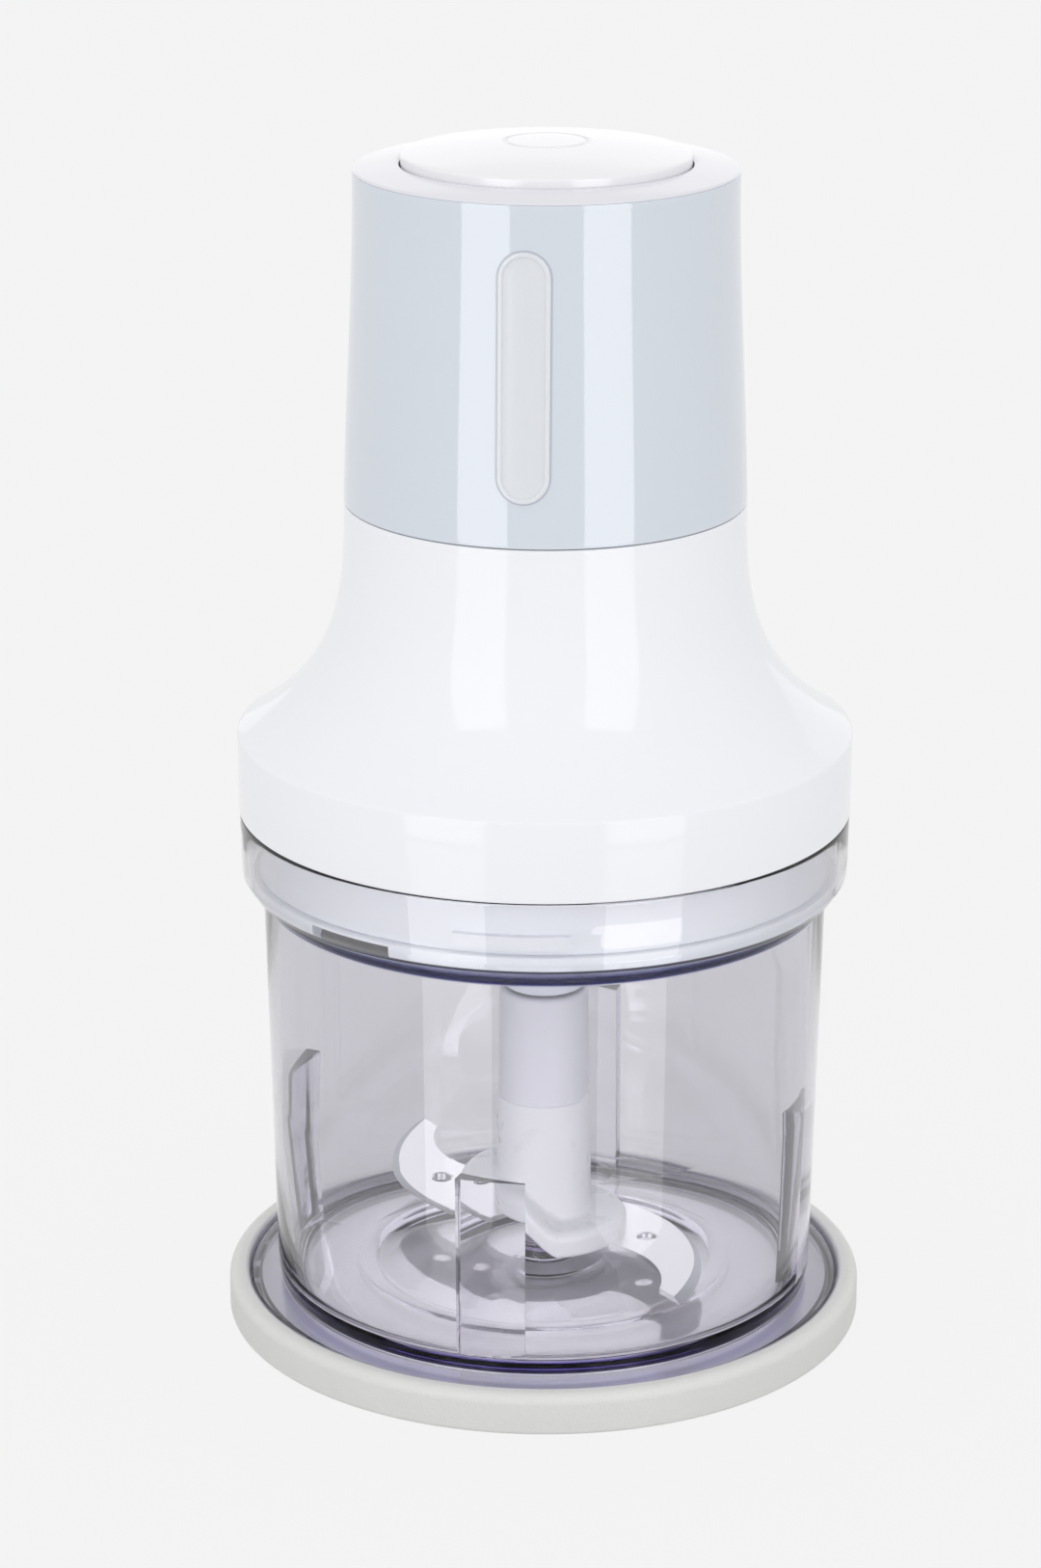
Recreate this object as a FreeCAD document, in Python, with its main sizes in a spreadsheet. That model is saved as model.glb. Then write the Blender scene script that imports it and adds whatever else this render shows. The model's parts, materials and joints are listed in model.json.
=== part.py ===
import FreeCAD, Part
import math
import os
import re
import Sketcher
from FreeCAD import Placement, Rotation, Vector

# Mini chopper: a motor unit on a clear bowl with a sickle-bladed knife, standing in a non-slip ring.
# Millimetres. Z is up, the origin is the middle of the resting face, and the badge faces -Y.

SIZES = {
    # gaps that the fits share
    "fit_gap": 0.3,            # between pieces that lift apart
    "seat_gap": 0.1,           # between pieces assembled for good
    "running_gap": 0.05,       # round a turning shaft
    # non-slip ring
    "ring_radius": 62.5,
    "ring_height": 8.1,
    "ring_wall": 3.9,
    "ring_floor": 3.2,
    "ring_recess": 1.0,
    # bowl
    "flange_top": 7.3,
    "flange_plate": 2.1,
    "flange_lip": 2.1,
    "flange_inner": 50.0,
    "floor_under": 6.9,
    "floor_plate": 2.6,
    "foot_radius": 52.7,
    "wall_top_radius": 54.4,
    "bowl_wall": 2.2,
    "floor_corner": 3.0,
    "ridge_radius": 35.0,
    "ridge_height": 0.45,
    "boss_radius": 13.5,
    "spindle_radius": 5.1,
    "spindle_tip_radius": 4.6,
    "spindle_top": 46.0,
    "baffle_top": 46.5,
    "baffle_depth": 2.1,
    "baffle_spread": 14.7,     # degrees
    "baffle_count": 4,
    "baffle_turn": -12.3,      # degrees from the front to the first steep face
    "collar_under": 87.1,
    "collar_lip_z": 92.0,
    "collar_radius": 58.7,
    "collar_top": 104.0,
    "collar_wall": 1.7,
    "shelf_z": 90.7,
    # bayonet
    "lug_reach": 1.3,
    "lug_height": 2.6,
    "lug_spread": 22.0,        # degrees
    "ledge_spread": 34.0,      # degrees
    "ledge_turn": -59.0,       # degrees, where the first ledge stands
    "lug_turn": 30.0,          # degrees, where the first lug waits, clear of the ledges
    "ledge_height": 2.2,
    "ledge_z": 98.6,
    "lug_count": 3,
    # knife
    "hub_bottom": 15.2,
    "hub_radius": 16.4,
    "hub_plate": 5.6,
    "hub_ramp": 4.2,           # half the width of the slope between the hub's two levels
    "level_step": 7.6,
    "column_radius": 9.3,
    "column_top": 66.0,
    "bush_radius": 7.4,
    "bush_length": 11.0,
    "web_bottom": 47.2,
    "web_plate": 2.3,
    "socket_gap": 0.4,         # between the coupler's flats and the socket's
    "blade_plate": 1.2,
    "blade_hole_radius": 1.9,
    "blade_hole_reach": 21.4,
    "blade_root": 8.0,
    "blade_edge_radius": 39.3,
    "blade_bevel": 1.7,
    "blade_edge_x": -2.4,
    "blade_edge_y": -20.3,
    "blade_hollow_radius": 19.6,
    "blade_hollow_x": 11.5,
    "blade_hollow_y": -25.0,
    "blade_tip_x": 31.4,
    "blade_tip_y": -23.6,
    "blade_turn": -12.3,       # degrees
    # splash lid
    "lid_rim": 2.6,
    "lid_plug_depth": 4.2,
    "lid_plate": 2.0,
    "dish_radius": 44.0,
    "seal_height": 2.4,
    "seal_depth": 1.6,
    "lid_notch_spread": 18.5,  # degrees
    "lid_notch_depth": 2.0,
    "lid_turn": -3.0,          # degrees
    "nose_wall": 1.8,
    "nose_tip_wall": 1.3,
    "nose_gap": 0.9,           # between the coupler's barrel and the nose
    "nose_step": 75.0,
    "nose_bottom": 66.6,
    "lip_seal_width": 3.3,
    "lip_seal_height": 2.4,
    # motor unit casing
    "skirt_radius": 55.4,
    "skirt_wall": 2.0,
    "cover_floor": 100.0,
    "cover_plate": 2.4,
    "cover_rim_top": 107.0,
    "rim_step_z": 104.5,
    "rim_reach": 1.0,
    "housing_bottom": 104.2,
    "housing_radius": 58.9,
    "housing_wall": 2.2,
    "shoulder_z": 119.6,
    "shoulder_lean": 32.2,     # degrees above the horizontal
    "shoulder_pull": 22.8,
    "neck_radius": 38.1,
    "neck_z": 164.7,
    "neck_pull": 18.8,
    "spigot_radius": 35.4,
    "spigot_wall": 2.1,
    "spigot_height": 7.0,
    "sleeve_top": 227.05,
    "sleeve_top_radius": 35.9,
    "sleeve_wall": 2.2,
    "sleeve_low_pole": 37.61,
    "sleeve_high_pole": 35.87,
    "badge_radius": 4.8,
    "badge_bottom": 173.2,
    "badge_top": 218.8,
    "badge_rim": 0.9,
    "badge_raise": 0.6,
    "badge_plate": 0.2,
    # top cap and button
    "cap_top": 228.7,
    "cap_wall": 1.8,
    "cap_skirt": 8.0,
    "web_z": 212.0,
    "web_thickness": 2.0,
    "web_hole": 5.0,
    "button_radius": 26.9,
    "button_edge_radius": 26.0,
    "button_edge_z": 230.2,
    "button_top": 232.6,
    "button_wall": 1.8,
    "button_skirt_bottom": 221.0,
    "stem_radius": 3.2,
    "stem_bottom": 215.5,
    "spring_radius": 8.5,
    "spring_wire": 0.8,        # square wire
    "spring_pitch": 3.2,
    # motor
    "shaft_radius": 4.0,
    "shaft_bottom": 70.0,
    "shaft_top": 184.0,
    "coupler_flat": 5.2,       # half the width across the coupler's flats
    "coupler_step": 0.8,       # from the flats out to the round barrel
    "coupler_bottom": 53.0,
    "coupler_shoulder": 67.0,
    "coupler_top": 98.0,
    "pin_radius": 1.2,
    "pin_z": 94.0,
    "bearing_radius": 9.0,
    "bearing_width": 5.6,
    "lower_bearing_z": 104.8,
    "upper_bearing_radius": 7.5,
    "upper_bearing_width": 6.0,
    "upper_bearing_z": 176.4,
    "bracket_z": 106.0,
    "bracket_plate": 2.4,
    "cup_wall": 2.6,
    "cup_height": 6.6,
    "bolt_circle": 30.6,
    "bolt_radius": 1.4,
    "post_radius": 2.0,
    "core_z": 124.0,
    "core_height": 30.0,
    "core_radius": 33.0,
    "core_back": 4.4,
    "pole_half_width": 9.6,
    "bore_radius": 18.4,
    "armature_radius": 17.8,
    "slot_count": 12,
    "slot_width": 2.0,
    "slot_depth": 8.0,
    "winding_reach": 5.4,
    "coil_inner_x": 19.6,
    "coil_depth": 4.8,
    "coil_width": 4.2,
    "coil_overhang": 6.4,
    "commutator_radius": 11.0,
    "commutator_z": 160.2,
    "commutator_height": 10.8,
    "fan_z": 111.6,
    "fan_height": 5.8,
    "fan_radius": 25.0,
    "fan_hub": 7.0,
    "fan_plate": 1.2,
    "fan_blades": 9,
    "top_bracket_z": 172.2,
    "brush_size": 5.0,
    "brush_z": 163.6,
    "brush_length": 13.0,
    "holder_wall": 1.8,
    "holder_length": 17.0,
    "mount_radius": 4.6,
    "mount_circle": 22.0,
    # electrics
    "board_z": 186.0,
    "board_plate": 1.6,
    "board_radius": 28.0,
    "pillar_radius": 2.6,
    "pillar_circle": 24.0,
    "switch_length": 20.0,
    "switch_width": 10.4,
    "switch_top": 205.0,
    "plunger_radius": 2.2,
    "plunger_stroke": 4.0,
    "capacitor_length": 18.0,
    "capacitor_width": 7.0,
    "capacitor_height": 12.0,
    "choke_radius": 3.6,
    "choke_height": 13.0,
    # cord inlet and screws
    "inlet_z": 112.2,
    "inlet_radius": 4.6,
    "inlet_bore": 3.4,
    "inlet_flange": 6.2,
    "inlet_proud": 2.4,
    "inlet_inside": 9.0,
    "clamp_length": 22.0,
    "clamp_width": 7.0,
    "clamp_top": 116.4,
    "clamp_reach": 44.0,
    "clamp_screw_x": 8.0,
    "screw_circle": 48.6,
    "screw_radius": 1.7,
    "screw_head_radius": 3.4,
    "screw_head": 2.2,
    "screw_reach": 13.5,
    "screw_count": 3,
    "screw_boss": 4.0,
    "screw_boss_top": 117.0,
    "screw_rib": 2.4,
}

doc = FreeCAD.newDocument("mini_chopper")
sheet = doc.addObject("Spreadsheet::Sheet", "Sizes")
for row, (name, number) in enumerate(SIZES.items(), 1):
    sheet.set("A%d" % row, name)
    sheet.set("B%d" % row, str(number))
    sheet.setAlias("B%d" % row, name)
doc.recompute()


def value(text):
    """The number that a size expression stands for."""
    return float(sheet.evalExpression(text))


def linked(text):
    """The same expression, as another object of the document writes it."""
    return re.sub(r"[a-z][a-z_]*", lambda word: "Sizes." + word.group() if word.group() in SIZES
                  else word.group(), text)


def bind(thing, links):
    for field, text in links.items():
        thing.setExpression(field, linked(text))


# ---- sketches ----

def origin_feature(body, role):
    return [feature for feature in body.Origin.OriginFeatures if feature.Role == role][0]


def sketch_in(body, name, plane, offset="0", turn=None):
    """A sketch on one of the body's own planes, moved along its normal and turned about Z."""
    sketch = body.newObject("Sketcher::SketchObject", name)
    sketch.AttachmentSupport = (origin_feature(body, plane), [""])
    sketch.MapMode = "FlatFace"
    if turn:
        upward = Vector(0, 0, 1) if plane == "XY_Plane" else Vector(0, 1, 0)
        sketch.AttachmentOffset = Placement(Vector(), Rotation(upward, value(turn)))
        bind(sketch, {"AttachmentOffset.Rotation.Angle": turn})
    bind(sketch, {"AttachmentOffset.Base.z": offset})
    return sketch


def pin_point(sketch, geometry, end, x, y):
    """Holds one point of a sketch at two expressions."""
    for kind, text in (("DistanceX", x), ("DistanceY", y)):
        index = sketch.addConstraint(Sketcher.Constraint(kind, geometry, end, value(text)))
        sketch.setExpression("Constraints[%d]" % index, linked(text))


def rounded_corner(before, here, after, radius):
    """Where a round of this radius leaves the two sides of a corner, and its middle point."""
    to_here = (here - before).normalize()
    onward = (after - here).normalize()
    turn = math.acos(max(-1.0, min(1.0, to_here.dot(onward))))
    run = radius * math.tan(turn / 2)
    start = here - to_here * run
    finish = here + onward * run
    inward = (onward - to_here).normalize()
    middle = here + inward * (radius / math.cos(turn / 2) - radius)
    return start, middle, finish


def outline(sketch, corners, curves=None):
    """A closed outline through corners of (x, y) or (x, y, round). curves maps a corner's number to
    the two inner poles of the cubic curve that leads from it to the next corner."""
    curves = curves or {}
    count = len(corners)
    places = [Vector(value(corner[0]), value(corner[1]), 0) for corner in corners]
    rounds = {}
    for i, corner in enumerate(corners):
        if len(corner) > 2:
            rounds[i] = rounded_corner(places[i - 1], places[i], places[(i + 1) % count], value(corner[2]))
    sides = []
    for i in range(count):
        following = (i + 1) % count
        start = rounds[i][2] if i in rounds else places[i]
        finish = rounds[following][0] if following in rounds else places[following]
        if i in curves:
            poles = [start] + [Vector(value(x), value(y), 0) for x, y in curves[i]] + [finish]
            spline = Part.BSplineCurve()
            spline.buildFromPolesMultsKnots(poles, [4, 4], [0, 1], False, 3)
            sides.append(sketch.addGeometry(spline))
        else:
            sides.append(sketch.addGeometry(Part.LineSegment(start, finish)))
    for i, corner in enumerate(corners):
        arriving = sides[i - 1]
        leaving = sides[i]
        if i in rounds:
            start, middle, finish = rounds[i]
            arc = sketch.addGeometry(Part.Arc(start, middle, finish))
            turns_left = (middle - start).cross(finish - start).z > 0
            first, last = (1, 2) if turns_left else (2, 1)
            virtual = sketch.addGeometry(Part.Point(places[i]), True)
            sketch.addConstraint(Sketcher.Constraint("Tangent", arriving, 2, arc, first))
            sketch.addConstraint(Sketcher.Constraint("Tangent", leaving, 1, arc, last))
            sketch.addConstraint(Sketcher.Constraint("PointOnObject", virtual, 1, arriving))
            sketch.addConstraint(Sketcher.Constraint("PointOnObject", virtual, 1, leaving))
            pin_point(sketch, virtual, 1, corner[0], corner[1])
            index = sketch.addConstraint(Sketcher.Constraint("Radius", arc, value(corner[2])))
            sketch.setExpression("Constraints[%d]" % index, linked(corner[2]))
        else:
            sketch.addConstraint(Sketcher.Constraint("Coincident", arriving, 2, leaving, 1))
            pin_point(sketch, leaving, 1, corner[0], corner[1])
    for i, poles in curves.items():
        first_pole = sketch.GeometryCount
        sketch.exposeInternalGeometry(sides[i])
        for step, (x, y) in enumerate(poles, 1):
            pin_point(sketch, first_pole + step, 3, x, y)
    return sketch


def circle(sketch, x, y, radius):
    index = sketch.addGeometry(Part.Circle(Vector(value(x), value(y), 0), Vector(0, 0, 1), value(radius)))
    pin_point(sketch, index, 3, x, y)
    datum = sketch.addConstraint(Sketcher.Constraint("Radius", index, value(radius)))
    sketch.setExpression("Constraints[%d]" % datum, linked(radius))
    return sketch


def ring(inner, outer, low, high):
    """The four corners of a plain ring's section."""
    return [(inner, low), (outer, low), (outer, high), (inner, high)]


def block(left, right, near, far):
    return [(left, near), (right, near), (right, far), (left, far)]


def pill(low, high, radius):
    """A tall round-ended outline about the vertical axis of a front sketch."""
    almost = "(%s) * 0.999" % radius
    return [("-(%s)" % radius, low, almost), (radius, low, almost),
            (radius, high, almost), ("-(%s)" % radius, high, almost)]


# ---- features ----

def new_body(name, turn=None):
    body = doc.addObject("PartDesign::Body", name)
    if turn:
        body.Placement.Rotation = Rotation(Vector(0, 0, 1), value(turn))
        bind(body, {"Placement.Rotation.Angle": turn})
    return body


def revolve(body, name, corners, curves=None, angle="360", midplane=False, turn=None, kind="Revolution"):
    """Turns a section about Z, to add to the body or, as a Groove, to cut it."""
    before = 0 if body.Shape.isNull() else body.Shape.Volume
    sketch = outline(sketch_in(body, name + "_section", "XZ_Plane", turn=turn), corners, curves)
    feature = body.newObject("PartDesign::" + kind, name)
    feature.Profile = sketch
    feature.ReferenceAxis = (sketch, ["V_Axis"])
    feature.Midplane = midplane
    bind(feature, {"Angle": angle})
    doc.recompute()
    if kind == "Groove" and not body.Shape.Volume < before:
        raise RuntimeError(name + " cuts nothing")
    return feature


def extrude(body, name, sketch, length, kind="PartDesign::Pad", reversed_side=False):
    """Pads or pockets a sketch, and makes sure that a pocket has cut something."""
    before = 0 if body.Shape.isNull() else body.Shape.Volume
    feature = body.newObject(kind, name)
    feature.Profile = sketch
    feature.Reversed = reversed_side
    bind(feature, {"Length": length})
    doc.recompute()
    if kind == "PartDesign::Pocket" and not body.Shape.Volume < before:
        raise RuntimeError(name + " cuts nothing")
    return feature


def pad(body, name, corners, low, length, turn=None):
    sketch = outline(sketch_in(body, name + "_outline", "XY_Plane", low, turn), corners)
    return extrude(body, name, sketch, length)


def round_pad(body, name, x, y, radius, low, length, turn=None):
    sketch = circle(sketch_in(body, name + "_circle", "XY_Plane", low, turn), x, y, radius)
    return extrude(body, name, sketch, length)


def pocket(body, name, corners, low, length):
    sketch = outline(sketch_in(body, name + "_outline", "XY_Plane", low), corners)
    return extrude(body, name, sketch, length, "PartDesign::Pocket", True)


def round_pocket(body, name, x, y, radius, low, length, turn=None):
    sketch = circle(sketch_in(body, name + "_circle", "XY_Plane", low, turn), x, y, radius)
    return extrude(body, name, sketch, length, "PartDesign::Pocket", True)


def around(body, name, features, count):
    """Repeats features evenly about the body's Z axis."""
    pattern = body.newObject("PartDesign::PolarPattern", name)
    pattern.Originals = features
    pattern.Axis = (origin_feature(body, "Z_Axis"), [""])
    pattern.Angle = 360
    bind(pattern, {"Occurrences": count})
    body.Tip = pattern
    doc.recompute()
    return pattern


def turned(name, corners, curves=None):
    """A body that is one plain revolution."""
    body = new_body(name)
    revolve(body, name + "_turned", corners, curves)
    return body


def combine(kind, name, base, tool):
    result = doc.addObject(kind, name)
    result.Base = base
    result.Tool = tool
    return result


def group(name, members):
    """Identical loose pieces that share one node."""
    result = doc.addObject("Part::Compound", name)
    result.Links = members
    return result


def move(body, x, y, z="0"):
    bind(body, {"Placement.Base.x": x, "Placement.Base.y": y, "Placement.Base.z": z})
    return body


def regular_polygon(half_width, sides=6):
    """Corners of a polygon that has this half width across its flats."""
    step = 360 / sides
    reach = "(%s) / cos(%g)" % (half_width, step / 2)
    return [("%s * cos(%g)" % (reach, step * i), "%s * sin(%g)" % (reach, step * i)) for i in range(sides)]


# ---- derived places that several pieces share ----

FLOOR_TOP = "(floor_under + floor_plate)"
BUSH_BOTTOM = "(hub_bottom + hub_plate - 0.4)"
COLLAR_BORE = "(collar_radius - collar_wall)"
FLANGE_RADIUS = "(ring_radius - ring_wall - fit_gap)"
LID_TOP = "(shelf_z + lid_rim)"
LID_RADIUS = "(%s - fit_gap)" % COLLAR_BORE
PLUG_RADIUS = "(wall_top_radius - bowl_wall - fit_gap)"
PLUG_BOTTOM = "(shelf_z - lid_plug_depth)"
BARREL = "(coupler_flat + coupler_step)"
NOSE_BORE = "(%s + nose_gap)" % BARREL
LIP_SEAL = "(%s + fit_gap + lip_seal_width)" % BARREL
CORE_TOP = "(core_z + core_height)"
COVER_TOP = "(cover_floor + cover_plate)"
BRACKET_RADIUS = "(bolt_circle + post_radius + 0.4)"
BUTTON_BORE = "(button_radius + fit_gap)"
WEB_TOP = "(web_z + web_thickness)"


# ---- non-slip ring ----

def make_base_ring():
    return turned("base_ring", [
        ("0", "ring_recess"),
        ("ring_radius - 12", "ring_recess"),
        ("ring_radius - 11", "0"),
        ("ring_radius", "0", "0.8"),
        ("ring_radius", "ring_height", "2.0"),
        ("ring_radius - ring_wall", "ring_height", "0.8"),
        ("ring_radius - ring_wall", "ring_floor"),
        ("0", "ring_floor"),
    ])


# ---- bowl ----

def make_bowl():
    bowl = new_body("bowl")
    revolve(bowl, "bowl_shell", [
        ("0", "floor_under"),
        ("flange_inner", "floor_under", "0.6"),
        ("flange_inner", "flange_top - flange_plate"),
        (FLANGE_RADIUS + " - flange_lip", "flange_top - flange_plate"),
        (FLANGE_RADIUS + " - flange_lip", "ring_floor"),
        (FLANGE_RADIUS, "ring_floor", "0.4"),
        (FLANGE_RADIUS, "flange_top", "0.8"),
        ("foot_radius - 0.9", "flange_top"),
        ("foot_radius", "flange_top + 2.8"),
        ("wall_top_radius", "collar_under", "1.2"),
        ("collar_radius - 1.7", "collar_under + 2.6", "0.8"),
        ("collar_radius - 0.2", "collar_lip_z", "2.0"),
        ("collar_radius", "collar_top", "0.6"),
        (COLLAR_BORE, "collar_top", "0.5"),
        (COLLAR_BORE, "shelf_z"),
        ("wall_top_radius - bowl_wall", "shelf_z", "0.5"),
        ("foot_radius - bowl_wall", FLOOR_TOP, "floor_corner"),
        ("ridge_radius + 0.9", FLOOR_TOP),
        ("ridge_radius + 0.4", FLOOR_TOP + " + ridge_height"),
        ("ridge_radius - 0.4", FLOOR_TOP + " + ridge_height"),
        ("ridge_radius - 0.9", FLOOR_TOP),
        ("boss_radius", FLOOR_TOP),
        ("boss_radius - 1", FLOOR_TOP + " + ridge_height"),
        ("spindle_radius", FLOOR_TOP + " + ridge_height", "1.4"),
        ("spindle_radius", BUSH_BOTTOM + " + bush_length + 1"),
        ("spindle_tip_radius", BUSH_BOTTOM + " + bush_length + 3"),
        ("spindle_tip_radius", "spindle_top", "1.6"),
        ("0", "spindle_top"),
    ])
    # each baffle starts at a steep face and fades into the wall
    inner = "(foot_radius - bowl_wall - 0.6)"
    buried = "(foot_radius - bowl_wall + 1.4)"
    steep = "(baffle_turn + 180)"
    faded = "(baffle_turn + 180 + baffle_spread)"
    corners = [
        ("(%s - baffle_depth) * sin(%s)" % (inner, steep), "-(%s - baffle_depth) * cos(%s)" % (inner, steep)),
        (buried + " * sin(%s)" % steep, "-%s * cos(%s)" % (buried, steep)),
        (buried + " * sin(%s)" % faded, "-%s * cos(%s)" % (buried, faded)),
        ("(%s + 0.5) * sin(%s)" % (inner, faded), "-(%s + 0.5) * cos(%s)" % (inner, faded)),
    ]
    baffle = pad(bowl, "baffle", corners, FLOOR_TOP + " - 0.5", "baffle_top - %s + 0.5" % FLOOR_TOP)
    around(bowl, "baffles", [baffle], "baffle_count")
    ledge = revolve(bowl, "ledge", [
        ("skirt_radius + fit_gap", "ledge_z"),
        (COLLAR_BORE + " + 0.6", "ledge_z"),
        (COLLAR_BORE + " + 0.6", "ledge_z + ledge_height + 1"),
        ("skirt_radius + fit_gap", "ledge_z + ledge_height"),
    ], angle="ledge_spread", midplane=True, turn="ledge_turn")
    around(bowl, "ledges", [ledge], "lug_count")
    return bowl


# ---- knife ----

def blade_corners():
    """The straight sides of the blade's blank. The edge and the hollow are cut from it as circles."""
    tip_run = ("(blade_tip_x + %g)", "(blade_tip_y - %g)")
    return [
        ("blade_root", "-5"),
        ("blade_tip_x - 19.4", "blade_tip_y + 16.4"),
        ("blade_tip_x - 2.1", "blade_tip_y + 1.5"),
        (tip_run[0] % 10.5, tip_run[1] % 7.5),
        (tip_run[0] % 10.5, "19"),
        ("blade_root + 4", "19"),
        ("blade_root", "12"),
    ]


def make_blade(name, low, turn):
    plate = new_body(name + "_plate")
    pad(plate, name + "_blank", blade_corners(), "0", "blade_plate")
    round_pocket(plate, name + "_hollow", "blade_hollow_x", "blade_hollow_y", "blade_hollow_radius",
                 "-1", "blade_plate + 2")
    round_pocket(plate, name + "_hole", "blade_hole_reach", "0", "blade_hole_radius", "-1", "blade_plate + 2")
    edge = doc.addObject("Part::Cone", name + "_edge")
    bind(edge, {"Radius1": "blade_edge_radius", "Radius2": "blade_edge_radius - blade_bevel",
                "Height": "blade_plate", "Placement.Base.x": "blade_edge_x", "Placement.Base.y": "blade_edge_y"})
    blade = combine("Part::Common", name, plate, edge)
    blade.Placement.Rotation = Rotation(Vector(0, 0, 1), value(turn))
    bind(blade, {"Placement.Base.z": low, "Placement.Rotation.Angle": turn})
    return blade


def hub_level(body, name, low, cut_left, cut_right):
    """One half of the hub: a disc, less everything between two distances from the middle."""
    high = low + " + hub_plate"
    revolve(body, name + "_disc", [
        ("spindle_radius + 1", low),
        ("hub_radius", low, "1.0"),
        ("hub_radius", high, "2.2"),
        ("spindle_radius + 1", high),
    ])
    pocket(body, name + "_cut", block(cut_left, cut_right, "-hub_radius - 1", "hub_radius + 1"),
           low + " - 0.001", "hub_plate + 0.002")


def make_column(blades):
    column = new_body("column_moulding")
    low_top = "(hub_bottom + hub_plate)"
    high_bottom = "(hub_bottom + level_step)"
    high_top = "(hub_bottom + level_step + hub_plate)"
    hub_level(column, "low_half", "hub_bottom", "-hub_radius - 1", "hub_ramp")
    hub_level(column, "high_half", high_bottom, "-hub_ramp", "hub_radius + 1")
    ramp = sketch_in(column, "ramp_outline", "XZ_Plane", "-(hub_radius - 0.9)")
    outline(ramp, [
        ("-hub_ramp - 0.2", high_bottom),
        ("hub_ramp + 0.2", "hub_bottom"),
        ("hub_ramp + 0.2", low_top),
        ("-hub_ramp - 0.2", high_top),
    ])
    extrude(column, "ramp", ramp, "2 * (hub_radius - 0.9)")
    revolve(column, "column_tube", [
        ("spindle_radius", BUSH_BOTTOM),
        ("column_radius", BUSH_BOTTOM),
        ("column_radius", high_top),
        ("column_radius", "column_top", "0.9"),
        ("spindle_radius", "column_top"),
    ])
    round_pocket(column, "column_bore", "0", "0", "spindle_radius + 0.9", "hub_bottom - 1",
                 "web_bottom - hub_bottom + 1")
    round_pocket(column, "bush_seat", "0", "0", "bush_radius", BUSH_BOTTOM + " - 0.001", "bush_length + 0.001")
    pocket(column, "socket", regular_polygon("coupler_flat + socket_gap"), "web_bottom + web_plate",
           "column_top - web_bottom - web_plate + 1")
    roots = doc.addObject("Part::Compound", "blade_roots")
    roots.Links = blades
    return combine("Part::Cut", "blade_column", column, roots)


def make_knife():
    lower = make_blade("lower_blade", "hub_bottom", "blade_turn")
    upper = make_blade("upper_blade", "hub_bottom + level_step", "blade_turn + 180")
    column = make_column([lower, upper])
    bush = turned("column_bush", ring("spindle_radius + running_gap", "bush_radius - seat_gap",
                                      BUSH_BOTTOM, BUSH_BOTTOM + " + bush_length - seat_gap"))
    return [lower, upper, column, bush]


# ---- splash lid ----

def make_splash_lid():
    seal_bottom = PLUG_BOTTOM + " + 0.7"
    seal_top = seal_bottom + " + seal_height"
    groove = PLUG_RADIUS + " - 0.5 - seal_depth"
    plate_top = PLUG_BOTTOM + " + lid_plate"
    seat_bottom = "%s - lip_seal_height - 0.6" % LID_TOP
    lid = new_body("splash_lid", "lid_turn")
    revolve(lid, "lid_turned", [
        (NOSE_BORE, "nose_bottom"),
        (NOSE_BORE + " + nose_tip_wall", "nose_bottom", "0.6"),
        (NOSE_BORE + " + nose_tip_wall", "nose_step"),
        (NOSE_BORE + " + nose_wall", "nose_step"),
        (NOSE_BORE + " + nose_wall", PLUG_BOTTOM, "1.5"),
        (PLUG_RADIUS + " - 0.5", PLUG_BOTTOM),
        (PLUG_RADIUS + " - 0.5", seal_bottom),
        (groove, seal_bottom),
        (groove, seal_top),
        (PLUG_RADIUS + " - 0.5", seal_top),
        (PLUG_RADIUS + " - 0.5", "shelf_z"),
        (LID_RADIUS, "shelf_z"),
        (LID_RADIUS, LID_TOP, "0.4"),
        ("dish_radius + 1.5", LID_TOP, "1.0"),
        ("dish_radius", plate_top, "1.0"),
        (LIP_SEAL + " + 3.4", plate_top),
        (LIP_SEAL + " + 1.8", LID_TOP),
        (LIP_SEAL + " + seat_gap", LID_TOP),
        (LIP_SEAL + " + seat_gap", seat_bottom),
        (NOSE_BORE, seat_bottom),
    ])
    notch = revolve(lid, "rim_notch", ring(LID_RADIUS + " - lid_notch_depth", LID_RADIUS + " + 1",
                                           "shelf_z - 1", LID_TOP + " - 0.6"),
                    angle="lid_notch_spread", midplane=True, kind="Groove")
    around(lid, "rim_notches", [notch], "lug_count")
    seal = turned("lid_seal", [
        (groove + " + seat_gap", seal_bottom + " + seat_gap"),
        (PLUG_RADIUS + " - 0.3", seal_bottom + " + seat_gap", "0.4"),
        (PLUG_RADIUS, seal_bottom + " + seal_height / 2", "0.3"),
        (PLUG_RADIUS + " - 0.3", seal_top + " - seat_gap", "0.4"),
        (groove + " + seat_gap", seal_top + " - seat_gap"),
    ])
    lip = turned("shaft_seal", ring(BARREL + " + fit_gap", LIP_SEAL, seat_bottom,
                                    seat_bottom + " + lip_seal_height"))
    return [lid, seal, lip]


# ---- motor unit casing ----

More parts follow.
